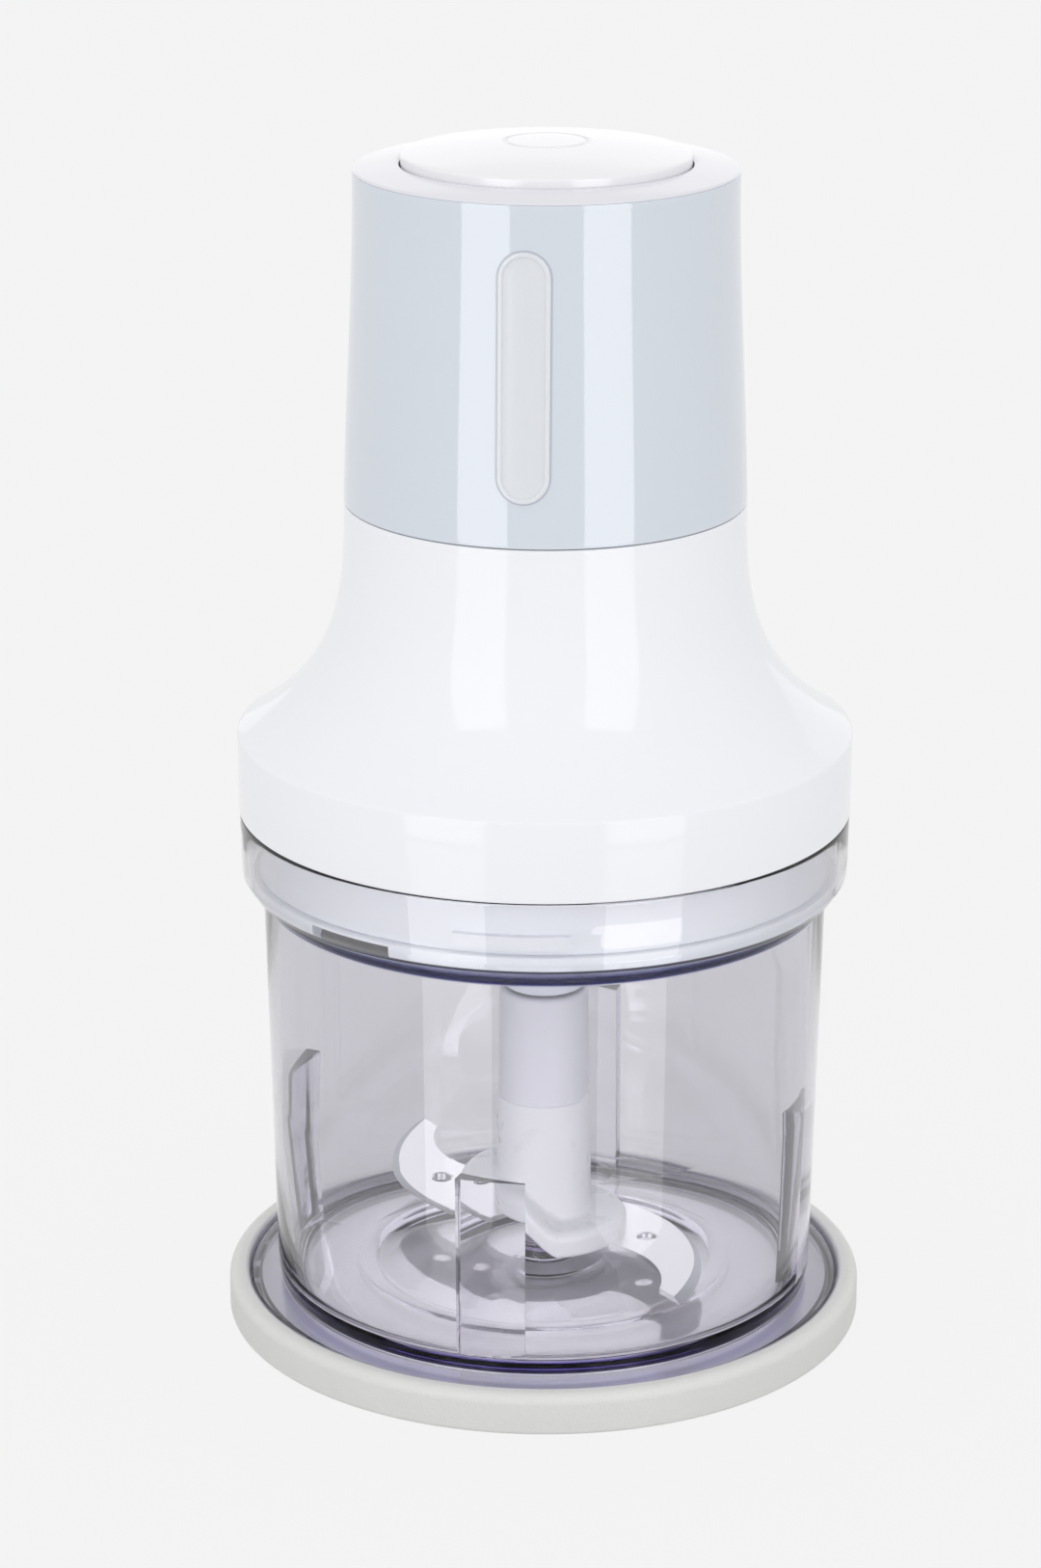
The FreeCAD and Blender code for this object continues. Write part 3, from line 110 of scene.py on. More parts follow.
def makeCamera(values):
    data = bpy.data.cameras.new("productCamera")
    data.lens, data.sensor_width = values["lens"], values["sensor"]
    camera = bpy.data.objects.new("productCamera", data)
    scene.collection.objects.link(camera)
    yaw, pitch, roll = (math.radians(values[key]) for key in ("yaw", "pitch", "roll"))
    ahead = Vector((math.sin(yaw), math.cos(yaw), 0))
    right = Vector((math.cos(yaw), -math.sin(yaw), 0))
    up = ahead * math.sin(pitch) + Vector((0, 0, math.cos(pitch)))
    back = Vector((0, 0, math.sin(pitch))) - ahead * math.cos(pitch)
    facing = Matrix((right, up, back)).transposed().to_4x4()
    place = Matrix.Translation(Vector((0, -values["distance"], values["height"])) * mm)
    camera.matrix_world = (Matrix.Rotation(math.radians(values["azimuth"]), 4, "Z") @ place @ facing
                           @ Matrix.Rotation(roll, 4, "Z"))
    scene.camera = camera
    scene.view_settings.view_transform = "Standard"


lightValues = {                         # lengths in metres
    "background": 0.913,
    "sides": [("left", -28.4, 28.2), ("right", 41.2, 28.0)],    # azimuth and width, degrees
    "stripDistance": 0.5,
    "strips": [("Softbox", 0.01, 0.63, 1.5), ("LowSoftbox", -0.215, 0.0, 0.3)],     # bottom, top, power
    "softboxes": [                      # power, width, height, place, height of its aim, rays that miss it
        ("frontSoftbox", 6.0, 1.0, 1.0, (0.1, -2.0, 0.7), 0.12, "glossy"),
        ("backSoftbox", 1.0, 1.6, 0.7, (0.0, 1.3, 0.45), 0.1, "diffuse"),
        ("topSoftbox", 0.1, 0.9, 0.9, (0.1, -0.1, 1.1), 0.0, None)],
}


def areaLight(name, power, width, height, place, aim, missed):
    data = bpy.data.lights.new(name, "AREA")
    data.shape = "RECTANGLE"
    data.size, data.size_y, data.energy = width, height, power
    lamp = bpy.data.objects.new(name, data)
    scene.collection.objects.link(lamp)
    lamp.location = place
    lamp.rotation_euler = (Vector((0, 0, aim)) - Vector(place)).to_track_quat("-Z", "Y").to_euler()
    lamp.visible_camera = False
    if missed:
        setattr(lamp, "visible_" + missed, False)


def makeLights(values):
    world = bpy.data.worlds.new("paleStudio")
    world.use_nodes = True
    world.node_tree.nodes["Background"].inputs["Color"].default_value = grey(values["background"])
    scene.world = world
    reach = values["stripDistance"]
    for side, azimuth, width in values["sides"]:
        turn, across = math.radians(azimuth), 2 * reach * math.tan(math.radians(width / 2))
        for name, bottom, top, power in values["strips"]:       # they only draw the long highlights
            middle = (bottom + top) / 2
            place = (reach * math.sin(turn), -reach * math.cos(turn), middle)
            areaLight(side + name, power, across, top - bottom, place, middle, "diffuse")
    for softbox in values["softboxes"]:
        areaLight(*softbox)


floorValues = {"reach": 4.0, "shade": 0.8, "rough": 0.9, "ownGlow": 0.93}


def makeFloor(values, background):      # the camera sees mostly a glow of the background's own shade
    reach = values["reach"]
    data = bpy.data.meshes.new("studioFloor")
    data.from_pydata([(x * reach, y * reach, 0) for x, y in ((-1, -1), (1, -1), (1, 1), (-1, 1))], [], [(0, 1, 2, 3)])
    floor = bpy.data.objects.new("studioFloor", data)
    scene.collection.objects.link(floor)
    material, tree, shader = newMaterial("paleFloor", {"Base Color": grey(values["shade"]),
                                                       "Roughness": values["rough"]})
    glow = addNode(tree, "ShaderNodeEmission", {"Color": grey(background)})
    seen = addNode(tree, "ShaderNodeLightPath").outputs["Is Camera Ray"]
    mix = addNode(tree, "ShaderNodeMixShader", {0: calculate(tree, "MULTIPLY", seen, values["ownGlow"]), 1: shader,
                                                2: glow})
    fill(tree, tree.nodes["Material Output"], {"Surface": mix})
    data.materials.append(material)
    floor.visible_glossy = False        # the low strips' highlights look through it


makeCamera(cameraValues)
makeLights(lightValues)
makeFloor(floorValues, lightValues["background"])
print("studio ready")


def newTree(kind, name, inputs, outputs):       # a node group. an input is a name, a kind and perhaps a first value
    tree = bpy.data.node_groups.new(name, kind + "NodeTree")
    for label, socketKind, *start in inputs:
        socket = tree.interface.new_socket(label, in_out="INPUT", socket_type="NodeSocket" + socketKind)
        if start:
            socket.default_value = start[0]
    for label, socketKind in outputs:
        tree.interface.new_socket(label, in_out="OUTPUT", socket_type="NodeSocket" + socketKind)
    return tree, tree.nodes.new("NodeGroupInput").outputs, tree.nodes.new("NodeGroupOutput")


def objectPlace(tree):
    return addNode(tree, "ShaderNodeTexCoord").outputs["Object"]


def noise(tree, place, scale, detail, rough=0.5):
    return addNode(tree, "ShaderNodeTexNoise", {"Vector": place, "Scale": scale, "Detail": detail,
                                                "Roughness": rough})


def between(tree, value, low, high):    # 0 at low, rising to 1 at high
    return addNode(tree, "ShaderNodeMapRange", {"Value": value, "From Min": low, "From Max": high})


def mixColours(tree, share, first, second):
    return addNode(tree, "ShaderNodeMix", {0: share, 6: first, 7: second}, data_type="RGBA").outputs[2]


def axisDistance(tree, place):          # how far a point is from the Z axis
    flat = addNode(tree, "ShaderNodeVectorMath", {0: place, 1: (1, 1, 0)}, operation="MULTIPLY")
    return addNode(tree, "ShaderNodeVectorMath", {0: flat}, operation="LENGTH").outputs["Value"]


def putSurface(group, given, made, tone, contrast, polish, spread, height):
    # one pattern lightens and darkens the colour, another varies the roughness
    double, base = calculate(group, "MULTIPLY", contrast, 2.0), calculate(group, "SUBTRACT", 1.0, contrast)
    level = calculate(group, "MULTIPLY_ADD", tone, double, base)
    tint = addNode(group, "ShaderNodeHueSaturation", {"Color": given["Color"], "Value": level})
    centred = calculate(group, "SUBTRACT", polish, 0.5)
    rough = calculate(group, "MULTIPLY_ADD", centred, spread, given["Roughness"], clamp=True)
    fill(group, made, {"Color": tint, "Roughness": rough, "Height": height})
    return group


surfaceOutputs = [("Color", "Color"), ("Roughness", "Float"), ("Height", "Float")]


def makeMouldedGrain():                 # broad tone, polish marks and a fine moulded skin
    group, given, made = newTree("Shader", "mouldedGrain", [
        ("Color", "Color", grey(0.8)), ("Tone", "Float", 0.02), ("Roughness", "Float", 0.2),
        ("Polish", "Float", 0.04), ("Grain Scale", "Float", 2500.0), ("Tone Scale", "Float", 45.0)], surfaceOutputs)
    place = objectPlace(group)
    broad = noise(group, place, given["Tone Scale"], detail=3.0, rough=0.6)
    polish = noise(group, place, scale=130.0, detail=5.0, rough=0.7)
    fine = noise(group, place, given["Grain Scale"], detail=2.0)
    return putSurface(group, given, made, broad, given["Tone"], polish, given["Polish"], fine)


def makeGroundLines():                  # fine straight grinding, stretched along one axis
    group, given, made = newTree("Shader", "groundLines", [
        ("Color", "Color", grey(0.7)), ("Contrast", "Float", 0.1), ("Roughness", "Float", 0.25),
        ("Spread", "Float", 0.12), ("Stretch", "Vector", (40.0, 3000.0, 3000.0)), ("Turn", "Float", 0.0)],
        surfaceOutputs)
    place = objectPlace(group)
    turn = addNode(group, "ShaderNodeVectorRotate", {"Vector": place, "Angle": given["Turn"]}, rotation_type="Z_AXIS")
    stretch = addNode(group, "ShaderNodeVectorMath", {0: turn, 1: given["Stretch"]}, operation="MULTIPLY")
    lines = noise(group, stretch, scale=1.0, detail=4.0, rough=0.65)
    broad = noise(group, place, scale=90.0, detail=2.0)
    fine = 0.65                         # the lines' share of the pattern
    mixed = calculate(group, "MULTIPLY_ADD", broad, 1 - fine, calculate(group, "MULTIPLY", lines, fine))
    return putSurface(group, given, made, mixed, given["Contrast"], mixed, given["Spread"], lines)


def makeEdgeWear():                     # a lighter or darker rub on corners, broken up by noise
    group, given, made = newTree("Shader", "edgeWear", [
        ("Color", "Color", grey(0.8)), ("Worn Color", "Color", grey(1)), ("Amount", "Float", 0.3)],
        [("Color", "Color")])
    corner = addNode(group, "ShaderNodeNewGeometry").outputs["Pointiness"]
    patch = noise(group, objectPlace(group), scale=220.0, detail=4.0, rough=0.7)
    broken = calculate(group, "MULTIPLY", between(group, corner, low=0.51, high=0.6), patch)
    share = calculate(group, "MULTIPLY", broken, given["Amount"], clamp=True)
    fill(group, made, {"Color": mixColours(group, share, given["Color"], given["Worn Color"])})
    return group


def makeRepeatBands():                  # stacked sheets or laid wire: even bands with a dark gap
    group, given, made = newTree("Shader", "repeatBands", [
        ("Color", "Color", grey(0.5)), ("Gap Color", "Color", grey(0.1)), ("Direction", "Vector", (0.0, 0.0, 1.0)),
        ("Pitch", "Float", 0.0005), ("Wander", "Float", 0.2)], [("Color", "Color"), ("Height", "Float")])
    place = objectPlace(group)
    along = addNode(group, "ShaderNodeVectorMath", {0: place, 1: given["Direction"]}, operation="DOT_PRODUCT")
    count = calculate(group, "DIVIDE", along.outputs["Value"], given["Pitch"])
    drift = noise(group, place, scale=160.0, detail=2.0)
    shifted = calculate(group, "MULTIPLY_ADD", drift, given["Wander"], count)
    crest = between(group, calculate(group, "PINGPONG", shifted, 0.5), low=0.02, high=0.2)
    fill(group, made, {"Color": mixColours(group, crest, given["Gap Color"], given["Color"]), "Height": crest})
    return group


mouldedGrain = makeMouldedGrain()
groundLines = makeGroundLines()
edgeWear = makeEdgeWear()
repeatBands = makeRepeatBands()
print("shader groups ready")


# colour, roughness, tone, polish, grain per metre, grain depth in mm, worn colour, wear
mouldedValues = {
    "greyRubber": ((0.67, 0.67, 0.655), 0.62, 0.03, 0.12, 1900.0, 0.25, (0.76, 0.76, 0.75), 0.5),
    "whiteMoulding": ((0.87, 0.875, 0.88), 0.28, 0.015, 0.08, 1500.0, 0.05, (0.92, 0.92, 0.93), 0.3),
    "neckWhite": ((0.79, 0.795, 0.83), 0.3, 0.015, 0.08, 1500.0, 0.05, (0.86, 0.86, 0.88), 0.3),
    "acetal": ((0.84, 0.82, 0.76), 0.35, 0.02, 0.08, 1500.0, 0.06, (0.9, 0.89, 0.85), 0.3),
    "palePlastic": ((0.8, 0.83, 0.88), 0.22, 0.015, 0.06, 1200.0, 0.04, (0.88, 0.9, 0.92), 0.3),
    "silicone": ((0.72, 0.74, 0.77), 0.45, 0.02, 0.1, 1500.0, 0.08, (0.8, 0.81, 0.83), 0.3),
    "whiteGloss": ((0.88, 0.89, 0.925), 0.07, 0.008, 0.03, 260.0, 0.012, (0.94, 0.94, 0.95), 0.3),
    "greyGloss": ((0.66, 0.705, 0.77), 0.06, 0.01, 0.03, 260.0, 0.012, (0.72, 0.76, 0.81), 0.3),
    # painted shade: the cap is a greyer copy of the white gloss, standing in for the shade on its front slope
    "capWhite": ((0.76, 0.76, 0.81), 0.12, 0.008, 0.04, 260.0, 0.012, (0.84, 0.84, 0.87), 0.3),
    "badgeGrey": ((0.72, 0.74, 0.775), 0.14, 0.01, 0.03, 260.0, 0.012, (0.8, 0.81, 0.83), 0.3),
    # painted shade: a darker grey for the line round the badge, standing in for a groove's shade
    "badgeSeam": ((0.5, 0.53, 0.6), 0.2, 0.01, 0.03, 260.0, 0.012, (0.56, 0.59, 0.65), 0.2),
    "buttonWhite": ((0.87, 0.86, 0.89), 0.16, 0.008, 0.04, 900.0, 0.03, (0.94, 0.94, 0.94), 0.3),
    "blackRubber": ((0.022, 0.022, 0.022), 0.6, 0.1, 0.15, 1600.0, 0.2, (0.06, 0.06, 0.06), 0.6),
    "carbonBlock": ((0.03, 0.03, 0.032), 0.55, 0.15, 0.2, 2400.0, 0.15, (0.1, 0.1, 0.1), 0.6),
    "boardGreen": ((0.02, 0.13, 0.05), 0.35, 0.12, 0.15, 700.0, 0.08, (0.35, 0.3, 0.12), 0.7),
    "capacitorCase": ((0.62, 0.42, 0.05), 0.32, 0.05, 0.1, 1500.0, 0.08, (0.7, 0.55, 0.15), 0.5),
    "switchBlack": ((0.02, 0.02, 0.023), 0.38, 0.1, 0.12, 1500.0, 0.08, (0.08, 0.08, 0.08), 0.5),
    "fanPlastic": ((0.045, 0.045, 0.05), 0.42, 0.1, 0.12, 1500.0, 0.08, (0.1, 0.1, 0.1), 0.5),
    "notchShade": ((0.16, 0.155, 0.15), 0.4, 0.03, 0.06, 1200.0, 0.04, (0.2, 0.2, 0.2), 0.3),
    "couplerGrey": ((0.4, 0.43, 0.46), 0.35, 0.04, 0.1, 1500.0, 0.08, (0.55, 0.57, 0.6), 0.6),
}

glossValues = {"usual": (1.5, 0.0), "whiteGloss": (1.3, 0.0), "greyGloss": (1.5, 0.15)}    # IOR and coat

metalValues = {                         # colour, contrast, roughness, spread, stretch, turn, bump depth
    "groundSteel": ((0.95, 0.945, 0.95), 0.05, 0.24, 0.14, (60.0, 2600.0, 300.0), -12.3, 0.06),
    "groundEdge": ((0.56, 0.57, 0.6), 0.12, 0.34, 0.2, (2600.0, 120.0, 300.0), -40.0, 0.1),
    "springSteel": ((0.5, 0.5, 0.52), 0.1, 0.3, 0.15, (400.0, 400.0, 1800.0), 0.0, 0.05),
    "bearingSteel": ((0.6, 0.6, 0.62), 0.08, 0.22, 0.12, (300.0, 300.0, 2600.0), 0.0, 0.05),
    "castAlloy": ((0.52, 0.53, 0.55), 0.12, 0.48, 0.15, (700.0, 700.0, 700.0), 0.0, 0.25),
    "screwSteel": ((0.55, 0.56, 0.58), 0.1, 0.3, 0.15, (500.0, 500.0, 2200.0), 0.0, 0.08),
    "brassHolder": ((0.66, 0.46, 0.16), 0.1, 0.3, 0.12, (300.0, 300.0, 2000.0), 0.0, 0.05),
}

bandValues = {                          # colour, gap colour, direction, pitch, wander, roughness, metallic
    "laminationSteel": ((0.2, 0.2, 0.22), (0.03, 0.03, 0.035), (0.0, 0.0, 1.0), 0.0005, 0.15, 0.45, 0.8),
    "copperWinding": ((0.62, 0.24, 0.09), (0.12, 0.03, 0.01), (0.35, 0.25, 0.9), 0.00055, 0.9, 0.32, 0.7),
}


def useGroup(tree, group, values):
    return addNode(tree, "ShaderNodeGroup", values, node_tree=group).outputs


def addBump(tree, shader, height, depth, strength):
    bump = addNode(tree, "ShaderNodeBump", {"Strength": strength, "Distance": depth * mm, "Height": height})
    fill(tree, shader, {"Normal": bump})


def mouldedMaterial(name, color, rough, tone, polish, grain, depth, worn, wear):
    ior, coat = glossValues.get(name, glossValues["usual"])
    material, tree, shader = newMaterial(name, {"IOR": ior, "Coat Weight": coat, "Coat Roughness": 0.03})
    skin = useGroup(tree, mouldedGrain, {"Color": (*color, 1), "Tone": tone, "Roughness": rough, "Polish": polish,
                                         "Grain Scale": grain})
    rubbed = useGroup(tree, edgeWear, {"Color": skin["Color"], "Worn Color": (*worn, 1), "Amount": wear})
    fill(tree, shader, {"Base Color": rubbed["Color"], "Roughness": skin["Roughness"]})
    addBump(tree, shader, skin["Height"], depth, strength=0.5)
    return material


# painted light: the well's pale colour stands in for the light that reaches it through the bowl
wellPaintedLight = {"color": (0.95, 0.95, 0.955), "radius": 50.0, "blend": 0.5}        # mm


def ringMaterial(values):               # the ring's rubber, with painted light: paler in the well that the bowl covers, standing in for light reaching it through the bowl
    material = mouldedMaterial("ringRubber", *mouldedValues["greyRubber"])
    tree = material.node_tree
    shader = tree.nodes["Principled BSDF"]
    rubber = shader.inputs["Base Color"].links[0].from_socket
    inside = between(tree, axisDistance(tree, objectPlace(tree)), (values["radius"] + values["blend"]) * mm,
                     (values["radius"] - values["blend"]) * mm)
    fill(tree, shader, {"Base Color": mixColours(tree, inside, rubber, (*values["color"], 1))})
    return material


def metalMaterial(name, color, contrast, rough, spread, stretch, turn, depth):
    material, tree, shader = newMaterial(name, {"Metallic": 1.0})
    lines = useGroup(tree, groundLines, {"Color": (*color, 1), "Contrast": contrast, "Roughness": rough,
                                         "Spread": spread, "Stretch": stretch, "Turn": math.radians(turn)})
    fill(tree, shader, {"Base Color": lines["Color"], "Roughness": lines["Roughness"]})
    addBump(tree, shader, lines["Height"], depth, strength=0.35)
    return material


def bandMaterial(name, color, gap, direction, pitch, wander, rough, metallic):
    material, tree, shader = newMaterial(name, {"Metallic": metallic})
    bands = useGroup(tree, repeatBands, {"Color": (*color, 1), "Gap Color": (*gap, 1), "Direction": direction,
                                         "Pitch": pitch, "Wander": wander})
    skin = useGroup(tree, mouldedGrain, {"Color": bands["Color"], "Tone": 0.12, "Roughness": rough, "Polish": 0.2})
    fill(tree, shader, {"Base Color": skin["Color"], "Roughness": skin["Roughness"]})
    addBump(tree, shader, bands["Height"], depth=0.15, strength=0.6)
    return material


clearValues = {                         # heights and radii in mm
    "skin": {"Tone": 0.01, "Polish": 0.02, "Roughness": 0.012, "Grain Scale": 120.0},
    "ior": 1.53,
    "absorbColor": (0.55, 0.51, 0.66),
    "absorbDensity": 70.0,              # per metre
    "shadowPass": 0.96,
    "footRadius": (51.3, 51.6),         # up to footTop, the tints and painted shade stand only outside this
    "footTop": (10.7, 10.8),
    "floorBandTop": 10.5,               # below this, only light on its way in is tinted
    # painted shade: the dark navy bands at 8.2-10.3 and 86.8-89.4 mm are painted in; the other bands tint the clear
    # wall
    "tints": [(0.0, 7.9, (0.61, 0.61, 0.72)), (8.2, 10.3, (0.1, 0.06, 0.85)), (10.7, 86.7, (0.935, 0.935, 0.95)),
              (86.8, 89.4, (0.008, 0.012, 0.23)), (89.6, 92.0, (0.86, 0.865, 0.87)),
              (92.6, 106.0, (0.945, 0.94, 0.935))],
}


def clearMaterial(values):              # clear, with painted shade: dark lines painted into the colour by height at the wall's two ends, where thick corners darken the wall
    material, tree, shader = newMaterial("clearPlastic", {"IOR": values["ior"], "Transmission Weight": 1.0})
    place = objectPlace(tree)
    height = addNode(tree, "ShaderNodeSeparateXYZ", {0: place}).outputs["Z"]
    stops = [(level, tint) for low, high, tint in values["tints"] for level in (low, high)]
    top = stops[-1][0]
    bands = addNode(tree, "ShaderNodeValToRGB", {"Fac": calculate(tree, "DIVIDE", height, top * mm)})
    ramp = bands.color_ramp
    while len(ramp.elements) < len(stops):
        ramp.elements.new(0.5)
    for stop, (level, tint) in zip(ramp.elements, stops):
        stop.position = level / top
        stop.color = (*tint, 1)
    outside = between(tree, axisDistance(tree, place), *(edge * mm for edge in values["footRadius"]))
    above = between(tree, height, *(edge * mm for edge in values["footTop"]))
    facing = addNode(tree, "ShaderNodeNewGeometry")
    entering = calculate(tree, "SUBTRACT", 1.0, facing.outputs["Backfacing"])
    higher = calculate(tree, "GREATER_THAN", height, values["floorBandTop"] * mm)
    share = calculate(tree, "MULTIPLY", calculate(tree, "MAXIMUM", outside, above),
                      calculate(tree, "MAXIMUM", entering, higher))
    skin = useGroup(tree, mouldedGrain, {"Color": mixColours(tree, share, grey(1), bands), **values["skin"]})
    fill(tree, shader, {"Base Color": skin["Color"], "Roughness": skin["Roughness"]})
    shadow = addNode(tree, "ShaderNodeLightPath").outputs["Is Shadow Ray"]
    through = addNode(tree, "ShaderNodeBsdfTransparent", {"Color": grey(values["shadowPass"])})
    volume = addNode(tree, "ShaderNodeVolumeAbsorption", {"Color": (*values["absorbColor"], 1),
                                                          "Density": values["absorbDensity"]})
    mix = addNode(tree, "ShaderNodeMixShader", {0: shadow, 1: shader, 2: through})
    fill(tree, tree.nodes["Material Output"], {"Surface": mix, "Volume": volume})
    return material


finishes = {name: mouldedMaterial(name, *values) for name, values in mouldedValues.items()}
finishes.update({name: metalMaterial(name, *values) for name, values in metalValues.items()})
finishes.update({name: bandMaterial(name, *values) for name, values in bandValues.items()})
finishes["clearPlastic"] = clearMaterial(clearValues)
finishes["ringRubber"] = ringMaterial(wellPaintedLight)


def finishOf(slotName):                 # grey_rubber is painted greyRubber
    first, *others = slotName.split("_")
    return finishes["carbonBlock" if first == "carbon" else first + "".join(word.capitalize() for word in others)]


nodeSlots = {part["node"]: part["material_slot"] for part in frame["record"]["subparts"]}
for nodeName, nodeObject in frame["nodes"].items():
    nodeObject.data.materials.clear()
    nodeObject.data.materials.append(finishOf(nodeSlots[nodeName]))
print("finishes ready:", len(finishes))


def cubic(poles, t):                    # a point of a cubic curve
    return (poles[0] * (1 - t) ** 3 + poles[1] * 3 * t * (1 - t) ** 2 + poles[2] * 3 * t * t * (1 - t)
            + poles[3] * t ** 3)


def sectionLine(corners, curves=None, roundSteps=6, curveSteps=48):
    # corners of (r, z) or (r, z, round), in mm. curves gives the two inner poles of a curve that leaves a corner
    curves = curves or {}
    places = [Vector(corner[:2]) for corner in corners]
    line = []
    for i, corner in enumerate(corners):
        here, after = places[i], places[(i + 1) % len(corners)]
        if len(corner) > 2:
            arriving = (here - places[i - 1]).normalized()
            leaving = (after - here).normalized()
            turn = arriving.angle(leaving)
            run = corner[2] * math.tan(turn / 2)
            start, finish, weight = here - arriving * run, here + leaving * run, math.cos(turn / 2)
            for step in range(roundSteps + 1):
                t = step / roundSteps
                shares = ((1 - t) ** 2, 2 * weight * t * (1 - t), t * t)
                line.append((start * shares[0] + here * shares[1] + finish * shares[2]) / sum(shares))
        else:
            line.append(here)
        if i in curves:
            poles = (line[-1], *(Vector(pole) for pole in curves[i]), after)
            line += [cubic(poles, step / curveSteps) for step in range(1, curveSteps)]
    return [(point.x, point.y) for point in line]


def newPiece(name, work, *looks):       # an object with the bmesh's shape and the named finishes
    mesh = bpy.data.meshes.new(name)
    work.to_mesh(mesh)
    work.free()
    for look in looks:
        mesh.materials.append(finishes[look])
    piece = bpy.data.objects.new(name, mesh)
    scene.collection.objects.link(piece)
    return piece


def finishPiece(piece, sharp=34.0):     # merges seams, turns faces outwards and keeps crisp corners
    mesh = piece.data
    work = bmesh.new()
    work.from_mesh(mesh)
    bmesh.ops.remove_doubles(work, verts=work.verts, dist=seamGap)
    bmesh.ops.dissolve_degenerate(work, edges=work.edges, dist=seamGap / 2)
    bmesh.ops.recalc_face_normals(work, faces=work.faces)
    work.to_mesh(mesh)
    work.free()
    mesh.polygons.foreach_set("use_smooth", [True] * len(mesh.polygons))
    mesh.set_sharp_from_angle(angle=math.radians(sharp))
    return piece


def settle(piece, body, slotName, *nodes):
    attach(piece, body)
    if nodes:
        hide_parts(*nodes)
    return piece


def newShapeTree(name, inputs):
    return newTree("Geometry", name, inputs + [("Finish", "Material")], [("Geometry", "Geometry")])


def endShapeTree(tree, given, made, shape):
    real = addNode(tree, "GeometryNodeRealizeInstances", {"Geometry": shape})
    paint = addNode(tree, "GeometryNodeSetMaterial", {"Geometry": real, "Material": given["Finish"]})
    fill(tree, made, {"Geometry": paint})
    return tree


def makeTurnedTree():                   # turns a line of points about Z
    tree, given, made = newShapeTree("turnedSection", [("Section", "Geometry"), ("Turns", "Int", 192)])
    size = addNode(tree, "GeometryNodeAttributeDomainSize", {"Geometry": given["Section"]}, component="MESH")
    columns = calculate(tree, "ADD", given["Turns"], 1.0)
    grid = addNode(tree, "GeometryNodeMeshGrid", {"Vertices X": size.outputs["Point Count"], "Vertices Y": columns})
    index = addNode(tree, "GeometryNodeInputIndex")
    row = calculate(tree, "FLOOR", calculate(tree, "DIVIDE", index, columns))
    column = calculate(tree, "MODULO", index, columns)
    angle = calculate(tree, "MULTIPLY", column, calculate(tree, "DIVIDE", math.tau, given["Turns"]))
    place = addNode(tree, "GeometryNodeInputPosition")
    sample = addNode(tree, "GeometryNodeSampleIndex", {"Geometry": given["Section"], "Value": place, "Index": row},
                     data_type="FLOAT_VECTOR", domain="POINT")
    turn = addNode(tree, "ShaderNodeVectorRotate", {"Vector": sample, "Angle": angle}, rotation_type="Z_AXIS")
    move = addNode(tree, "GeometryNodeSetPosition", {"Geometry": grid, "Position": turn})
    merge = addNode(tree, "GeometryNodeMergeByDistance", {"Geometry": move, "Distance": seamGap})
    return endShapeTree(tree, given, made, merge)


def makeRingTree():                     # repeats one piece evenly round a circle
    tree, given, made = newShapeTree("ringOfPieces", [
        ("Piece", "Geometry"), ("Count", "Int"), ("Radius", "Float"), ("First Angle", "Float"), ("Height", "Float")])
    circle = addNode(tree, "GeometryNodeMeshCircle", {"Vertices": given["Count"], "Radius": given["Radius"]})
    angle = calculate(tree, "MULTIPLY", addNode(tree, "GeometryNodeInputIndex"),
                      calculate(tree, "DIVIDE", math.tau, given["Count"]))
    facing, whole, lift = (addNode(tree, "ShaderNodeCombineXYZ", {"Z": height})
                           for height in (angle, given["First Angle"], given["Height"]))
    spread = addNode(tree, "GeometryNodeInstanceOnPoints", {"Points": circle, "Instance": given["Piece"],
                                                            "Rotation": facing})
    move = addNode(tree, "GeometryNodeTransform", {"Geometry": spread, "Rotation": whole, "Translation": lift})
    return endShapeTree(tree, given, made, move)


def runTree(piece, tree, inputs):       # sets the named inputs, then keeps the plain mesh
    modifier = piece.modifiers.new("shape", "NODES")
    modifier.node_group = tree
    names = {item.name: item.identifier for item in tree.interface.items_tree if item.in_out == "INPUT"}
    for name, value in inputs.items():
        modifier[names[name]] = value
    graph = bpy.context.evaluated_depsgraph_get()
    mesh = bpy.data.meshes.new_from_object(piece.evaluated_get(graph))
    piece.modifiers.clear()
    piece.data = mesh


turnedSection = makeTurnedTree()
ringOfPieces = makeRingTree()


def turnedPiece(name, line, finish, turns=192, sharp=34.0):
    closing = line[:1] if line[0][0] > 0 or line[-1][0] > 0 else []     # a section clear of the axis closes on itself
    work = bmesh.new()
    for r, z in line + closing:
        work.verts.new((r * mm, 0, z * mm))
    piece = newPiece(name, work)
    runTree(piece, turnedSection, {"Turns": turns, "Finish": finishes[finish]})
    return finishPiece(piece, sharp)


